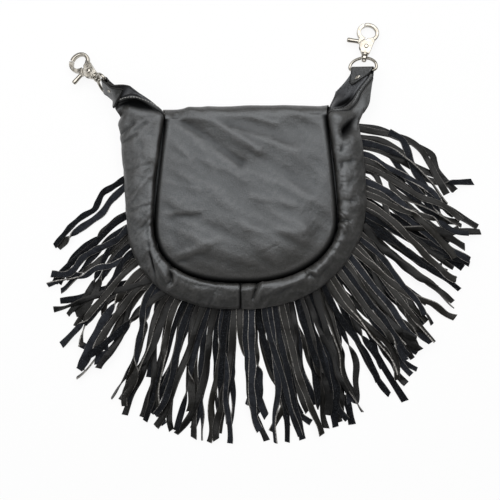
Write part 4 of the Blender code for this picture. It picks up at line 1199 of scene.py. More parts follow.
class Pile:
    """The height of what lies on the table, on a square grid, so that a strand can be laid on it."""

    def __init__(self):
        self.top = np.zeros(PILE_CELLS)

    def cells(self, places):
        index = np.round((places - np.array(PILE_CORNER)) / PILE_STEP).astype(int)
        index = index.clip(0, (PILE_CELLS[1] - 1, PILE_CELLS[0] - 1))
        return index[..., 1], index[..., 0]

    def lay(self, route, roll, width, root_z):
        """Lays a strand along a plan route and returns the height of its middle.

        It rests on what is under it, hangs from the header at its root, and bends only gently.
        """
        ahead = unit(np.gradient(route, axis=0))
        level = np.stack([ahead[:, 1], -ahead[:, 0]], axis=1)
        across = np.linspace(-1.0, 1.0, 7)
        offset = across[None] * (width / 2)[:, None]
        spread = route[:, None] + (offset * np.cos(roll)[:, None])[..., None] * level[:, None]
        lift = offset * np.sin(roll)[:, None]
        under = self.top[self.cells(spread)]
        need = (under - lift).max(axis=1) + FRINGE_LEATHER / 2 + PILE_CLEARANCE
        along = along_curve(route)
        height = np.maximum(need, root_z * (1 - eased(along / HANG_LENGTH)))
        gap = np.abs(along[:, None] - along[None])
        height = (height[None] - STEEPEST * gap).max(axis=1)
        soft = height
        for _ in range(3):
            held = np.pad(soft, 1, mode="edge")
            soft = (held[:-2] + 2 * held[1:-1] + held[2:]) / 4
        height = np.maximum(soft, need)
        height[0] = max(height[0], root_z)
        fine = np.linspace(0, len(route) - 1, 5 * len(route))
        known = np.arange(len(route))
        table = np.column_stack([route, level, roll, width / 2, height])
        x, y, side_x, side_y, tilt, half, middle = (np.interp(fine, known, row)[:, None] for row in table.T)
        reach = across[None] * half
        aside = reach * np.cos(tilt)
        spots = np.stack([x + aside * side_x, y + aside * side_y], axis=-1)
        top = middle + reach * np.sin(tilt) + FRINGE_LEATHER / 2
        np.maximum.at(self.top, self.cells(spots), top)
        return height, level


def strand_section(cup):
    """Nine corners round a strand, as shares of half width and of thickness, and the rise of its cup.

    Grain above, flesh below, and the cut edges lean outwards so that they show from above.
    """
    wide = np.array((-0.86, -0.36, 0.36, 0.86, 1.0, 0.96, 0.0, -0.96, -1.0))
    high = np.array((0.48, 0.5, 0.5, 0.48, 0.05, -0.5, -0.5, -0.5, 0.05))
    return wide, high, cup * (1 - wide**2)


def comb(layer, count, root_z, seed, strays, pile, finishes):
    """A comb of fringe: its header strip and its strands, each laid on the pile in a random order.

    The pile's own weight then presses it down: above its loose part it keeps a share of its height.
    """
    chance = np.random.default_rng(seed)
    combed = combed_routes(count, chance)
    strays = np.array([smooth_curve(plan(route), STRAND_STEPS) for route in strays])
    routes = np.concatenate([combed, strays])
    total = len(routes)
    roll = rolls(total, chance)
    base = STRAND_WIDTH * (1 + 0.09 * chance.normal(0, 1, (total, 1)).clip(-2, 2))
    width = base * (1 + 0.10 * rippled(total, chance, 2, 6))
    cup = chance.normal(0.35, 0.35, total).clip(-0.4, 0.9) * MM
    skew = chance.normal(0, 0.22, total).clip(-0.5, 0.5)
    tone = chance.uniform(0, 1, total) ** 2
    flesh_up = chance.uniform(0, 1, total) < 0.5
    last_part = np.clip((np.linspace(0.0, 1.0, STRAND_STEPS) - 0.97) / 0.03, 0, 1)
    points = np.zeros((total, STRAND_STEPS, SECTION_CORNERS, 3))
    for index in chance.permutation(total):
        height, level = pile.lay(routes[index], roll[index], width[index], root_z)
        wide, high, bowed = strand_section(cup[index])
        reach = wide[None] * width[index][:, None] / 2
        lift = (high * FRINGE_LEATHER + bowed)[None]
        tilt = roll[index][:, None]
        flat = (reach * np.cos(tilt) - lift * np.sin(tilt))[..., None] * level[:, None]
        ahead = np.stack([-level[:, 1], level[:, 0]], axis=1)
        slant = ((last_part * skew[index])[:, None] * reach)[..., None] * ahead[:, None]
        points[index, :, :, :2] = routes[index][:, None] + flat + slant
        points[index, :, :, 2] = height[:, None] + reach * np.sin(tilt) + lift * np.cos(tilt)
    deep = np.maximum(points[..., 2] - PILE_LOOSE, 0.0)
    points[..., 2] = np.maximum(points[..., 2] - deep * (1 - PILE_KEPT), 0.0001)
    single = tube_faces(STRAND_STEPS, SECTION_CORNERS)
    faces = copied_faces(single, STRAND_STEPS * SECTION_CORNERS, total)
    grain_up = [0, 0, 0, 2, 2, 1, 1, 2, 2]
    turned_over = [1, 1, 1, 2, 2, 0, 0, 2, 2]
    finish_index = []
    for flesh in flesh_up:
        finish_index += (turned_over if flesh else grain_up) * (STRAND_STEPS - 1) + [2, 2]
    header, header_faces = header_strip(root_z)
    first = points.size // 3
    faces += [[corner + first for corner in face] for face in header_faces]
    finish_index += [0] * len(header_faces)
    tones = np.repeat(tone, STRAND_STEPS * SECTION_CORNERS)
    tones = np.concatenate([tones, np.full(header.size // 3, 0.5)])
    points = np.concatenate([points.reshape(-1, 3), header.reshape(-1, 3)])
    marks = {"tone": tones}
    name = "fringe_strands_" + layer
    item = mesh_piece(name, points, faces, finishes, finish_index, marks, sharp=75.0)
    in_place_of(item, "fringe_" + layer)
    length = float(along_curve(seam_line()[0])[-1])
    depth = HEADER_INSET + HEADER_OUT + max(LENGTHS) * MM
    reaches = np.linalg.norm(np.diff(routes, axis=1), axis=-1).sum(axis=1)
    area = float((width.mean(axis=1) * reaches).sum()) + length * (HEADER_INSET + HEADER_OUT)
    area = min(max(area, LEAST_AREA * length * depth), length * depth)


def header_strip(z):
    """The strip that a comb is cut from, sewn in under the gusset: a flat section along the seam."""
    seam, outward = seam_line()
    seam, outward = seam[::3], outward[::3]
    half = FRINGE_LEATHER / 2
    section = ((-HEADER_INSET, half), (-HEADER_INSET, -half), (HEADER_OUT, -half), (HEADER_OUT, half))
    grid = np.zeros((len(seam), 4, 3))
    for index, (offset, lift) in enumerate(section):
        grid[:, index, :2] = seam + offset * outward
        grid[:, index, 2] = z + lift
    return grid, tube_faces(*grid.shape[:2])


def turned(name, profile, sides, matrix, finishes):
    """A profile of (radius, height) turned about Y of a frame, and closed by caps."""
    profile = np.asarray(profile, float)
    angles = np.arange(sides) * 2 * math.pi / sides
    points = np.zeros((len(profile), sides, 3))
    points[..., 0] = profile[:, :1] * np.sin(angles)
    points[..., 2] = profile[:, :1] * np.cos(angles)
    points[..., 1] = profile[:, 1:]
    return gridded(name, points, matrix, finishes)


def rod(name, radius, start, end, sides, matrix, finishes):
    """A straight round rod along Y of a frame, also the shape of a bore."""
    return turned(name, ((radius, start), (radius, end)), sides, matrix, finishes)


def gridded(name, grid, matrix, finishes, wrap=False):
    """A closed mesh from the grid of a tube, placed by its frame."""
    faces = tube_faces(*grid.shape[:2], wrap=wrap)
    return closed_piece(name, placed(grid, matrix), faces, finishes)


def closed_piece(name, points, faces, finishes):
    """A closed mesh whose faces are turned outwards."""
    item = mesh_piece(name, points, faces, finishes, sharp=CAST_SHARP)
    work = bmesh.new()
    work.from_mesh(item.data)
    bmesh.ops.recalc_face_normals(work, faces=work.faces)
    work.to_mesh(item.data)
    work.free()
    return item


def rounded_profile(points, radius):
    """A turned profile's corners, rounded by a small radius with three points each."""
    points = np.asarray(points, float)
    made = [points[0]]
    for before, corner, after in zip(points, points[1:], points[2:]):
        cut = min(radius, np.linalg.norm(corner - before) / 2.2, np.linalg.norm(after - corner) / 2.2)
        start = corner + unit(before - corner) * cut
        end = corner + unit(after - corner) * cut
        part = np.array((0.0, 0.33, 0.67, 1.0))[:, None]
        made += list(start * (1 - part) ** 2 + 2 * corner * part * (1 - part) + end * part**2)
    made.append(points[-1])
    return np.array(made)


def rounded_plate(name, outline, half, edge, matrix, finishes):
    """A flat outline as thick as two halves, with its rims rounded: rings that step in and up."""
    outline = np.asarray(outline, float)
    ahead = unit(np.roll(outline, -1, axis=0) - np.roll(outline, 1, axis=0))
    inward = np.stack([-ahead[:, 1], ahead[:, 0]], axis=1)
    following = np.roll(outline, -1, axis=0)
    area = (outline[:, 0] * following[:, 1] - outline[:, 1] * following[:, 0]).sum()
    inward *= 1 if area > 0 else -1
    rings = []
    for angle in np.radians((90, 60, 30, 0)):
        rings.append((edge * (1 - math.cos(angle)), -half + edge * (1 - math.sin(angle))))
    rings += [(inset, -height) for inset, height in reversed(rings)]
    points = np.zeros((len(rings), len(outline), 3))
    for index, (inset, height) in enumerate(rings):
        points[index, :, :2] = outline + inset * inward
        points[index, :, 2] = height
    return gridded(name, points, matrix, finishes)


def combine(item, added=(), removed=()):
    """Joins other meshes to this one in turn, then cuts others away, and removes them all."""
    steps = [(other, "UNION") for other in added] + [(other, "DIFFERENCE") for other in removed]
    for other, operation in steps:
        modifier = item.modifiers.new(other.name, "BOOLEAN")
        modifier.operation = operation
        modifier.object = other
        bpy.context.view_layer.update()
        graph = bpy.context.evaluated_depsgraph_get()
        mesh = bpy.data.meshes.new_from_object(item.evaluated_get(graph), depsgraph=graph)
        item.modifiers.clear()
        item.data = mesh
        mesh.shade_smooth()
        mesh.set_sharp_from_angle(angle=math.radians(CAST_SHARP))
        bpy.data.objects.remove(other, do_unlink=True)


def stand_in(item, node, body):
    """A finished piece in place of its node: one with no modifier shades its flat faces flat."""
    if not item.modifiers:
        item.modifiers.new("flat_faces", "WEIGHTED_NORMAL").keep_sharp = True
    in_place_of(item, node, body)


ABOUT_Z = Matrix.Rotation(math.radians(90), 4, "X")
ABOUT_X = Matrix.Rotation(math.radians(-90), 4, "Z")


def swivel_eye(side_name, frames, metal):
    """D-shaped wire eye with a bored collar at its top."""
    matrix = frames["eye"]
    half = EYE_INNER_HALF + EYE_WIRE_RADIUS
    bar = np.column_stack([np.linspace(EYE_CORNER - half, half - EYE_CORNER, 14), np.zeros(14)])
    corner = arc(EYE_CORNER, EYE_CORNER, -90.0, 0.0, 9)[1:] + (half - EYE_CORNER, EYE_CORNER)
    arch = arc(half, EYE_HEIGHT - EYE_CORNER, 0.0, 180.0, 49, EYE_CORNER)[1:-1]
    path = np.concatenate([bar, corner, arch, (corner * (-1, 1))[::-1]])
    path = np.column_stack([path, np.zeros(len(path))])
    grid = tube(path, circle(EYE_WIRE_RADIUS, 18), wrap=True)
    name = "eye_wire_" + side_name
    item = gridded(name, grid, matrix, [metal], wrap=True)
    collar = rounded_profile(
        (
            (COLLAR_RADIUS * 0.6, COLLAR_START),
            (COLLAR_RADIUS * 0.86, COLLAR_START),
            (COLLAR_RADIUS, COLLAR_START + COLLAR_HEIGHT * 0.2),
            (COLLAR_RADIUS, COLLAR_START + COLLAR_HEIGHT * 0.8),
            (COLLAR_RADIUS * 0.86, COLLAR_START + COLLAR_HEIGHT),
            (COLLAR_RADIUS * 0.6, COLLAR_START + COLLAR_HEIGHT),
        ),
        CAST_EDGE,
    )
    ring = turned(name + "_collar", collar, 36, matrix, [metal])
    bore = POST_RADIUS + POST_CLEARANCE
    hole = rod(name + "_bore", bore, COLLAR_START / 2, NECK_START, 28, matrix, [metal])
    combine(item, [ring], [hole])
    stand_in(item, "swivel_eye_" + side_name, "eye_" + side_name)


def swivel_post(side_name, frames, metal):
    """Headed post: its head sits inside the eye, and its shank turns in the collar."""
    head_end = COLLAR_START - GAP
    head = head_end - POST_HEAD_HEIGHT
    profile = rounded_profile(
        (
            (POST_HEAD_RADIUS * 0.30, head),
            (POST_HEAD_RADIUS * 0.88, head + POST_HEAD_HEIGHT * 0.2),
            (POST_HEAD_RADIUS, head + POST_HEAD_HEIGHT * 0.6),
            (POST_HEAD_RADIUS * 0.92, head_end),
            (POST_RADIUS, head_end),
            (POST_RADIUS, POST_END),
        ),
        PROFILE_EDGE,
    )
    item = turned("post_" + side_name, profile, 28, frames["hook"], [metal])
    stand_in(item, "swivel_post_" + side_name, "hook_" + side_name)


def hook_body(side_name, frames, metal):
    """Cast body: neck, two cheeks with a slot for the trigger, and the fixed side of the ring."""
    name = "hook_cast_" + side_name
    matrix = frames["hook"]
    in_width = RING_HALF_WIDTH - RING_WIDTH / 2
    in_height = RING_HALF_HEIGHT - RING_WIDTH / 2
    outline = np.concatenate(
        [
            [(NECK_RADIUS * 1.25, BODY_START)],
            [(CHEEK_RADIUS * 0.9, PIVOT_Y)],
            [(RING_HALF_WIDTH * 0.83, RING_Y - RING_HALF_HEIGHT)],
            arc(in_width, in_height, -42.0, -86.0, 8, RING_Y),
            arc(CHEEK_RADIUS, CHEEK_RADIUS, 100.0, 215.0, 18, PIVOT_Y),
            [(-NECK_RADIUS * 1.1, BODY_START)],
        ]
    )
    half = BODY_THICKNESS / 2
    item = rounded_plate(name, outline, half, BODY_EDGE, matrix, [metal])
    path = arc(RING_HALF_WIDTH, RING_HALF_HEIGHT, -62.0, 114.0, 46, RING_Y)
    path = np.column_stack([path, np.zeros(len(path))])
    ring = circle(1.0, 18)
    squared = np.sign(ring) * np.abs(ring) ** RING_SQUARENESS
    grid = tube(path, squared * (RING_WIDTH / 2, RING_THICKNESS / 2))
    ring = gridded(name + "_ring", grid, matrix, [metal])
    neck = rounded_profile(
        (
            (NECK_RADIUS * 0.6, NECK_START),
            (NECK_RADIUS * 0.85, NECK_START),
            (NECK_RADIUS, NECK_START + NECK_RADIUS * 0.2),
            (NECK_RADIUS, BODY_START + NECK_RADIUS * 0.1),
            (BODY_THICKNESS * 0.36, BODY_START + NECK_RADIUS * 0.4),
            (BODY_THICKNESS * 0.25, BODY_START + NECK_RADIUS * 0.4),
        ),
        PROFILE_EDGE,
    )
    turned_neck = turned(name + "_neck", neck, 32, matrix, [metal])
    bore = POST_RADIUS + GAP / 3
    hole = rod(name + "_bore", bore, COLLAR_START, POST_END + GAP, 24, matrix, [metal])
    slot = (
        (-2 * CHEEK_RADIUS, PIVOT_Y - HUB_RADIUS - GAP),
        (HUB_RADIUS + GAP, PIVOT_Y - HUB_RADIUS - GAP),
        (HUB_RADIUS + GAP, RING_Y),
        (-2 * CHEEK_RADIUS, RING_Y),
    )
    cut = rounded_plate(name + "_slot", slot, SLOT_HALF, SLOT_EDGE, matrix, [metal])
    pin = PIVOT_RADIUS + PIVOT_CLEARANCE
    pivot = frames["trigger"] @ ABOUT_Z
    pin_hole = rod(name + "_pin", pin, -2 * half, 2 * half, 20, pivot, [metal])
    combine(item, [ring, turned_neck], [hole, cut, pin_hole])
    stand_in(item, "hook_body_" + side_name, "hook_" + side_name)


def trigger(side_name, frames, metal):
    """Gate that closes the ring's open side, its hub between the cheeks, and the thumb lever."""
    name = "trigger_cast_" + side_name
    matrix = frames["trigger"]
    ring_y = RING_Y - PIVOT_Y
    lever_y = LEVER_Y - PIVOT_Y
    out_width, in_width = (RING_HALF_WIDTH + way * RING_WIDTH / 2 for way in (1, -1))
    out_height, in_height = (RING_HALF_HEIGHT + way * RING_WIDTH / 2 for way in (1, -1))
    concentric = CHEEK_RADIUS + 1.5 * GAP
    gate = np.concatenate(
        [
            arc(out_width, out_height, 121.0, 226.0, 30, ring_y),
            [(-LEVER_ROOT - 2 * GAP, lever_y + LEVER_RADIUS * 0.8)],
            [(-LEVER_ROOT - 2 * GAP, lever_y - LEVER_RADIUS * 0.8)],
            arc(concentric, concentric, 160.0, 112.0, 10),
            arc(in_width, in_height, 254.0, 121.0, 30, ring_y),
        ]
    )
    item = rounded_plate(name, gate, RING_THICKNESS / 2, CAST_EDGE, matrix, [metal])
    web = (
        (-LEVER_ROOT, lever_y - LEVER_RADIUS * 0.7),
        (-HUB_RADIUS * 0.72, -HUB_RADIUS * 0.62),
        (HUB_RADIUS * 0.62, HUB_RADIUS * 0.72),
        (-HUB_RADIUS * 0.7, CHEEK_RADIUS * 1.1),
        (-LEVER_ROOT, lever_y + LEVER_RADIUS * 0.7),
    )
    thin = WEB_THICKNESS / 2
    web_plate = rounded_plate(name + "_web", web, thin * WEB_SHARE, WEB_EDGE, matrix, [metal])
    upright = matrix @ ABOUT_Z
    hub = rod(name + "_hub", HUB_RADIUS, -thin, thin, 32, upright, [metal])
    lever = rounded_profile(
        (
            (LEVER_RADIUS * 0.5, -LEVER_ROOT),
            (LEVER_RADIUS * 0.9, -LEVER_ROOT),
            (LEVER_RADIUS * 0.92, -LEVER_END * 0.7),
            (LEVER_RADIUS, -LEVER_END * 0.93),
            (LEVER_RADIUS * 0.8, -LEVER_END),
            (LEVER_RADIUS * 0.3, -LEVER_END),
        ),
        BODY_EDGE,
    )
    at = matrix @ Matrix.Translation((0.0, lever_y, 0.0)) @ ABOUT_X
    bar = turned(name + "_lever", lever, 28, at, [metal])
    pin = PIVOT_RADIUS + PIVOT_CLEARANCE
    hole = rod(name + "_pin", pin, -2 * thin, 2 * thin, 20, upright, [metal])
    pocket = SPRING_RADIUS + SPRING_WIRE_RADIUS + GAP
    floor_z = thin - SPRING_POCKET_DEPTH
    pit = rod(name + "_pocket", pocket, floor_z, 2 * thin, 28, upright, [metal])
    combine(item, [web_plate, hub, bar], [hole, pit])
    stand_in(item, "trigger_" + side_name, "gate_" + side_name)


def pivot_rivet(side_name, frames, metal):
    """Headed pin that the trigger turns on, with a slight dome on each head."""
    face = BODY_THICKNESS / 2 + GAP
    crown = face + PIVOT_HEAD_HEIGHT
    half_profile = (
        (PIVOT_HEAD_RADIUS * 0.12, crown),
        (PIVOT_HEAD_RADIUS * 0.6, crown - PIVOT_HEAD_HEIGHT * 0.1),
        (PIVOT_HEAD_RADIUS * 0.9, face + PIVOT_HEAD_HEIGHT * 0.6),
        (PIVOT_HEAD_RADIUS, face + PIVOT_HEAD_HEIGHT * 0.2),
        (PIVOT_HEAD_RADIUS, face),
        (PIVOT_RADIUS, face),
    )
    profile = half_profile + tuple((radius, -height) for radius, height in reversed(half_profile))
    item = turned("pivot_pin_" + side_name, profile, 28, frames["trigger"] @ ABOUT_Z, [metal])
    stand_in(item, "pivot_rivet_" + side_name, "hook_" + side_name)


def trigger_spring(side_name, frames, metal):
    """Small coil spring in the trigger's hub pocket, round the rivet."""
    angles = np.linspace(0.0, 2 * math.pi * SPRING_TURNS, 60 * SPRING_TURNS)
    start = WEB_THICKNESS / 2 - SPRING_POCKET_DEPTH + GAP + SPRING_WIRE_RADIUS
    rise = start + SPRING_PITCH * angles / (2 * math.pi)
    helix = np.stack([SPRING_RADIUS * np.cos(angles), SPRING_RADIUS * np.sin(angles), rise], axis=1)
    grid = tube(helix, circle(SPRING_WIRE_RADIUS, 8))
    item = gridded("spring_coil_" + side_name, grid, frames["trigger"], [metal])
    stand_in(item, "trigger_spring_" + side_name, "hook_" + side_name)


def hanger_tab(side_name, side, frames, finishes):
    """Strap folded round the eye's bar with the ear between its legs, and twisted with the ear.

    The upper leg ends in a tongue on the right, and square on the left.
    """
    turn = np.radians(np.linspace(-90, 90, 19))
    wrap = np.stack([TAB_WRAP * np.cos(turn), TAB_WRAP * np.sin(turn)], axis=1)
    lower = np.column_stack([np.linspace(-TAB_LENGTH, -EAR_END, 16), np.full(16, -TAB_LEG)])
    end = TAB_LENGTH * (TONGUE_END if side > 0 else SQUARE_END)
    upper = np.column_stack([np.linspace(-EAR_END, -end, 22), np.full(22, TAB_LEG)])
    path = np.concatenate([lower, wrap[1:-1], upper])
    half = TAB_WIDTH / 2
    # The edge nearer the bag's middle runs straight, and the other is cut back to the point
    reach = -upper[:, 0] / TAB_LENGTH
    outer = np.full(len(path), -half)
    inner = np.full(len(path), half)
    if side > 0:
        outer[-len(upper):] = half * np.interp(reach, *TONGUE_OUTER)
        inner[-len(upper):] = half * np.interp(reach, *TONGUE_INNER)
    share = np.linspace(0.0, 1.0, 21)
    grid = np.zeros((len(path), len(share), 3))
    grid[..., 0] = (outer[:, None] * (1 - share) + inner[:, None] * share) * -side
    grid[..., 1] = path[:, :1]
    grid[..., 2] = path[:, 1:]
    lifted = np.clip((-grid[..., 1] / end - 0.62) / 0.38, 0, 1) ** 2 * (grid[..., 2] > 0)
    grid[..., 2] += TONGUE_LIFT * lifted
    ripple = 0.12 * MM * waves(grid, 0.009, 51 + side)
    grid[..., 2] += ripple * np.sign(grid[..., 2]) * np.clip(-grid[..., 1] / 0.008, 0, 1)
    twist = ear_twist(side, -grid[..., 1])
    x, z = grid[..., 0].copy(), grid[..., 2].copy()
    grid[..., 0] = x * np.cos(twist) - z * np.sin(twist)
    grid[..., 2] = x * np.sin(twist) + z * np.cos(twist)
    grid = placed(grid, frames["eye"])
    broad = np.abs(inner - outer)[:, None]
    from_sides = np.minimum(share, 1 - share)[None] * broad
    from_end = (path[:, :1] - path[-1, 0]) + 1.0 * (path[:, 1:] < 0)
    away = np.minimum(from_sides, from_end)
    # Painted shadow: a dark band along the strap's cut edges and the upper leg's end
    marks = {"shadow": np.clip(1.3 - away / TAB_EDGE, 0, 1) * (path[:, :1] < 0)}
    marks.update(crest_and_recess_marks(grid, 4))
    grid, marks = looking_up(grid, marks, slice(-20, None))
    item = sheet_piece("hanger_strap_" + side_name, grid, TAB_LEATHER, finishes, marks)
    stand_in(item, "hanger_tab_" + side_name, "bag")


def tab_rivet(side_name, side, frames, metal):
    """Rivet through the tab and the ear: a lozenge head with a dimple above and a round one below."""
    matrix = frames["eye"]
    centre = Matrix.Translation((-side * TAB_RIVET_X, TAB_RIVET_Y, 0.0))
    face = TAB_FACE + GAP / 2
    shank = (
        (TAB_RIVET_BACK_RADIUS * 0.1, -face - TAB_RIVET_HEAD_HEIGHT),
        (TAB_RIVET_BACK_RADIUS * 0.7, -face - TAB_RIVET_HEAD_HEIGHT * 0.9),
        (TAB_RIVET_BACK_RADIUS, -face - TAB_RIVET_HEAD_HEIGHT * 0.4),
        (TAB_RIVET_BACK_RADIUS, -face),
        (TAB_RIVET_RADIUS, -face),
        (TAB_RIVET_RADIUS, face + TAB_RIVET_HEAD_HEIGHT / 2),
    )
    name = "rivet_lozenge_" + side_name
    item = turned(name, shank, 28, matrix @ centre @ ABOUT_Z, [metal])
    turn = Matrix.Rotation(math.radians(TAB_RIVET_HEAD_TURN * side), 4, "Z")
    angles = np.radians(np.arange(0, 360, 10.0))
    reach = 1 / (np.abs(np.cos(angles)) + np.abs(np.sin(angles))) ** 0.86
    points = np.zeros((len(TAB_RIVET_RINGS), len(angles), 3))
    for index, (scale, lift) in enumerate(TAB_RIVET_RINGS):
        roundness = np.clip((0.5 - scale) / 0.4, 0, 1)
        lozenge = scale * reach * (1 - roundness) / 2
        dimple = TAB_RIVET_HEAD_WIDTH / 2 * scale * 1.4 * roundness
        points[index, :, 0] = (TAB_RIVET_HEAD_LENGTH * lozenge + dimple) * np.cos(angles)
        points[index, :, 1] = (TAB_RIVET_HEAD_WIDTH * lozenge + dimple) * np.sin(angles)
        points[index, :, 2] = face + TAB_RIVET_HEAD_HEIGHT * lift
    head = gridded(name + "_head", points, matrix @ centre @ turn, [metal])
    combine(item, [head])
    stand_in(item, "tab_rivet_" + side_name, "bag")


def grain_leather():
    """Smooth black leather: a pebble grain, a satin gloss that varies, crests made paler for wear and painted
    highlight, and recesses and creases darkened by painted shade and painted shadow.
    """
    finish = Finish("smooth_black_leather")
    where = finish.place()
    zones = finish.noise(where, 9.0, 2.0, 0.5)
    cloudy = finish.noise(where, 60.0, 4.0, 0.6, 0.4)
    grain = finish.cells(where, 1300.0)
    creping = finish.noise(where, 480.0, 3.0, 0.6, 0.6)
    fine = finish.noise(where, 3000.0, 2.0, 0.5)
    scuff_and_highlight = finish.attribute("scuff_and_highlight")
    recess_shade = finish.attribute("recess_shade")
    shadow = finish.attribute("shadow")
    colour = finish.mix(finish.span(zones, 0.35, 0.65), (0.022, 0.0215, 0.0195), (0.028, 0.0265, 0.023))
    colour = finish.mix(finish.span(cloudy, 0.5, 0.75) * 0.5, colour, (0.038, 0.037, 0.036))
    colour = finish.mix(finish.attribute("lining"), colour, (0.009, 0.008, 0.010))
    # Pale speckle on the pebble grain: grain texture that also serves as its painted highlights
    pebble = finish.noise(where, 720.0, 3.0, 0.7)
    colour = finish.mix(finish.span(pebble, 0.48, 0.66) * 0.5, colour, (0.052, 0.053, 0.056))
    # Paler crests: partly wear, partly a painted highlight
    scuff_and_highlight_share = (scuff_and_highlight * 0.45 * finish.span(creping, 0.35, 0.65) + scuff_and_highlight * 0.25).clip()
    colour = finish.mix(scuff_and_highlight_share, colour, (0.070, 0.068, 0.066))
    # Painted shade in recesses, then painted shadow in creases and gaps, down to near black
    colour = finish.mix(recess_shade * 0.6, colour, (0.006, 0.006, 0.006))
    colour = finish.mix(shadow, colour, (0.002, 0.002, 0.002))
    finish.set(Base_Color=colour)
    rough = 0.30 + cloudy * 0.12 + grain * 0.04 - scuff_and_highlight * 0.04 + recess_shade * 0.2 + shadow * 0.3
    finish.set(Roughness=rough.clip())
    # The painted shadow is also made metallic, so that its gloss goes near black as well
    finish.set(Metallic=finish.span(shadow, 0.1, 1.0) * 0.9)
    finish.set(Specular_IOR_Level=0.70, Specular_Tint=(0.90, 0.95, 1.0))
    coarse = finish.bump(creping, 0.00034)
    finish.set(Normal=finish.bump(grain * 0.7 + fine * 0.3, 0.00012, under=coarse))
    return finish.material


def suede():
    """The flesh side: a matt nap, speckled with paler fibres."""
    finish = Finish("suede_flesh_side")
    where = finish.place()
    tone = finish.attribute("tone")
    nap = finish.noise(where, 900.0, 4.0, 0.7)
    blotch = finish.noise(where, 130.0, 3.0, 0.6)
    colour = finish.mix(tone, (0.003, 0.0034, 0.0042), (0.020, 0.022, 0.027))
    colour = finish.mix(finish.span(nap, 0.52, 0.70) * 0.6, colour, (0.060, 0.066, 0.077))
    colour = finish.mix(finish.span(blotch, 0.5, 0.7) * 0.6, colour, (0.003, 0.003, 0.0035))
    finish.set(Base_Color=colour, Roughness=0.92, Specular_IOR_Level=0.08)
    finish.set(Sheen_Weight=0.04, Sheen_Roughness=0.5)
    finish.set(Normal=finish.bump(nap, 0.0005))
    return finish.material


def strand_grain():
    """The grain side of the thin fringe leather: black, with a gloss that its curl catches."""
    finish = Finish("fringe_grain_side")
    where = finish.place()
    tone = finish.attribute("tone")
    grain = finish.cells(where, 1300.0)
    creping = finish.noise(where, 420.0, 4.0, 0.65)
    colour = finish.mix(tone, (0.002, 0.002, 0.002), (0.012, 0.011, 0.009))
    colour = finish.mix(finish.span(creping, 0.60, 0.80) * 0.5, colour, (0.050, 0.047, 0.041))
    finish.set(Base_Color=colour, Roughness=(0.30 + creping * 0.26).clip(), Specular_IOR_Level=0.26)
    coarse = finish.bump(creping, 0.0004)
    finish.set(Normal=finish.bump(grain, 0.00014, under=coarse))
    return finish.material


def cut_edge(name, dark, pale):
    """The raw cut edge: grey fibres that vary along it, dark on some strands and pale on others."""
    finish = Finish(name)
    fibres = finish.noise(finish.place(), 700.0, 3.0, 0.7)
    colour = finish.mix(finish.span(fibres, 0.35, 0.65) * finish.attribute("tone"), dark, pale)
    finish.set(Base_Color=colour, Roughness=0.9, Specular_IOR_Level=0.3)
    finish.set(Normal=finish.bump(fibres, 0.0003))
    return finish.material


def waxed_thread(name, dark, pale):
    """Twisted thread, mottled between a dark and a pale colour along its twist."""
    finish = Finish(name)
    twist = finish.noise(finish.place(), 1600.0, 2.0)
    colour = finish.mix(finish.span(twist, 0.35, 0.65), dark, pale)
    finish.set(Base_Color=colour, Roughness=0.6)
    finish.set(Normal=finish.bump(twist, 0.0002))
    return finish.material


def plated(name, colour, shade, smooth, rough):
    """Plated metal: fine scratches, and duller patches of a darker colour that are partly tarnish and partly
    painted dark reflections.
    """
    finish = Finish(name)
    where = finish.place()
    patches = finish.noise(where, 260.0, 4.0, 0.6)
    streak = finish.node("Mapping", Vector=where, Scale=(900.0, 260.0, 420.0))
    scratches = finish.noise(streak, 3.0, 3.0, 0.65)
    # Darker patches: tarnish, and a painted reflection of dark surroundings
    finish.set(Base_Color=finish.mix(finish.span(patches, 0.45, 0.7) * 0.7, colour, shade))
    finish.set(Metallic=1.0)
    dulled = smooth + finish.span(patches, 0.4, 0.75) * (rough - smooth) + scratches * 0.05
    finish.set(Roughness=dulled.clip())
    swell = finish.noise(where, 110.0, 1.0, 0.4)
    soft = finish.bump(swell, 0.0004)
    finish.set(Normal=finish.bump(scratches, 0.00003, under=soft))
    return finish.material


def light(name, power, size, place, aim):
    """A soft rectangular lamp, turned towards a point."""
    lamp = bpy.data.lights.new(name, "AREA")
    lamp.shape = "RECTANGLE"
    lamp.energy = power
    lamp.size, lamp.size_y = size
    item = bpy.data.objects.new(name, lamp)
    item.location = place
    item.rotation_euler = (Vector(aim) - Vector(place)).to_track_quat("-Z", "Y").to_euler()
    bpy.context.scene.collection.objects.link(item)


def floor():
    """White floor that keeps a soft shadow: mostly its own white to the camera and in reflections."""
    ways = ((-1, -1), (1, -1), (1, 1), (-1, 1))
    mesh = bpy.data.meshes.new("floor")
    mesh.from_pydata([(x * FLOOR_HALF, y * FLOOR_HALF, 0.0) for x, y in ways], [], [(0, 1, 2, 3)])
    item = bpy.data.objects.new("floor", mesh)
    item.location.z = -FLOOR_DROP
    bpy.context.scene.collection.objects.link(item)
    material = bpy.data.materials.new("white_floor")
    material.use_nodes = True
    tree = material.node_tree
    tree.nodes.clear()
    output = tree.nodes.new("ShaderNodeOutputMaterial")
    matt = tree.nodes.new("ShaderNodeBsdfDiffuse")
    matt.inputs["Color"].default_value = (0.86, 0.86, 0.86, 1.0)
    glow = tree.nodes.new("ShaderNodeEmission")
    glow.inputs["Color"].default_value = (1.0, 1.0, 1.0, 1.0)
    glow.inputs["Strength"].default_value = 1.0
    path = tree.nodes.new("ShaderNodeLightPath")
    seen = Number(tree, path.outputs["Is Camera Ray"])
    for kind in ("Is Glossy Ray", "Is Transmission Ray"):
        seen = seen.math("MAXIMUM", Number(tree, path.outputs[kind]))
    blend = tree.nodes.new("ShaderNodeMixShader")
    tree.links.new((seen * FLOOR_WHITE).socket, blend.inputs[0])
    tree.links.new(matt.outputs[0], blend.inputs[1])
    tree.links.new(glow.outputs[0], blend.inputs[2])
    tree.links.new(blend.outputs[0], output.inputs["Surface"])
    mesh.materials.append(material)


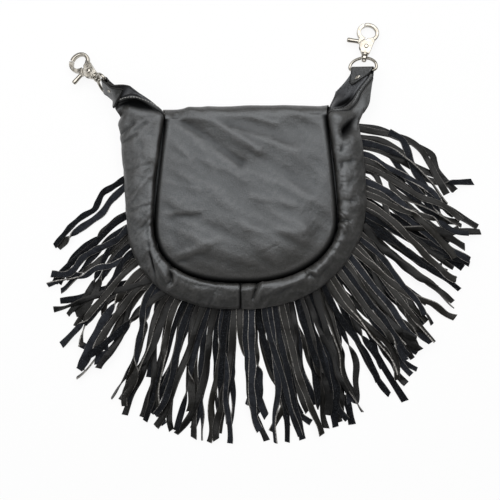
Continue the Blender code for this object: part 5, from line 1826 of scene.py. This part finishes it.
def surroundings():
    """Plain grey surroundings, brighter overhead than near the horizon, and white behind the floor."""
    world = bpy.data.worlds.new("studio")
    bpy.context.scene.world = world
    world.use_nodes = True
    tree = world.node_tree
    back = next(node for node in tree.nodes if node.type == "BACKGROUND")
    where = tree.nodes.new("ShaderNodeTexCoord")
    split = tree.nodes.new("ShaderNodeSeparateXYZ")
    tree.links.new(where.outputs["Generated"], split.inputs[0])
    height = Number(tree, split.outputs["Z"])
    sky = 0.05 + height.math("MAXIMUM", 0.0) * 0.20
    seen = Number(tree, tree.nodes.new("ShaderNodeLightPath").outputs["Is Camera Ray"])
    strength = sky * (1.0 - seen) + seen
    tree.links.new(strength.socket, back.inputs["Strength"])
    back.inputs["Color"].default_value = (1.0, 1.0, 1.0, 1.0)


def camera():
    """Camera that looks straight down, with the photo's frame on the table half a metre wide."""
    lens = bpy.data.cameras.new("camera")
    lens.sensor_width = SENSOR
    lens.lens = SENSOR * CAMERA_HEIGHT / PHOTO_WIDTH
    item = bpy.data.objects.new("camera", lens)
    item.location = (CAMERA_X, CAMERA_Y, CAMERA_HEIGHT)
    bpy.context.scene.collection.objects.link(item)
    bpy.context.scene.camera = item


camera()
floor()
surroundings()
for lamp in LAMPS:
    light(*lamp, LAMP_AIM)
bpy.context.scene.view_settings.view_transform = "Standard"

body_leather = grain_leather()
flesh = suede()
body_edge = cut_edge("body_cut_edge", (0.03, 0.029, 0.028), (0.09, 0.085, 0.08))
strand_grain_side = strand_grain()
strand_edge = cut_edge("fringe_cut_edge", (0.02, 0.019, 0.018), (0.50, 0.48, 0.45))
body_finishes = [body_leather, flesh, body_edge]
strand_finishes = [strand_grain_side, flesh, strand_edge]
threads = {
    "right": waxed_thread("black_thread", (0.004, 0.004, 0.004), (0.020, 0.019, 0.018)),
    # The same thread as on the right, given pale colours as a painted highlight where it catches the light
    "left": waxed_thread("thread_painted_highlight", (0.16, 0.155, 0.15), (0.42, 0.41, 0.39)),
}
nickel = plated("nickel_plate", (0.44, 0.415, 0.37), (0.27, 0.24, 0.19), 0.12, 0.26)
steel = plated("plain_steel", (0.52, 0.52, 0.53), (0.40, 0.39, 0.38), 0.25, 0.40)

back_panel(body_finishes)
front_panel(body_finishes)
seam_piping(body_leather)
pile = Pile()
comb("lower", LOWER_COUNT, LOWER_HEADER_Z, 41, STRAY_STRANDS[::2], pile, strand_finishes)
comb("upper", UPPER_COUNT, UPPER_HEADER_Z, 43, STRAY_STRANDS[1::2], pile, strand_finishes)
for side, side_name in ((1, "right"), (-1, "left")):
    clasp = joint_frame(side_name)
    gusset(side, side_name, clasp, body_finishes, threads[side_name])
    swivel_eye(side_name, clasp, nickel)
    swivel_post(side_name, clasp, nickel)
    hook_body(side_name, clasp, nickel)
    trigger(side_name, clasp, nickel)
    pivot_rivet(side_name, clasp, nickel)
    trigger_spring(side_name, clasp, steel)
    hanger_tab(side_name, side, clasp, body_finishes)
    tab_rivet(side_name, side, clasp, nickel)
for name in ("snap_socket", "snap_stud"):
    for place in frame["nodes"][name].material_slots:
        place.material = steel
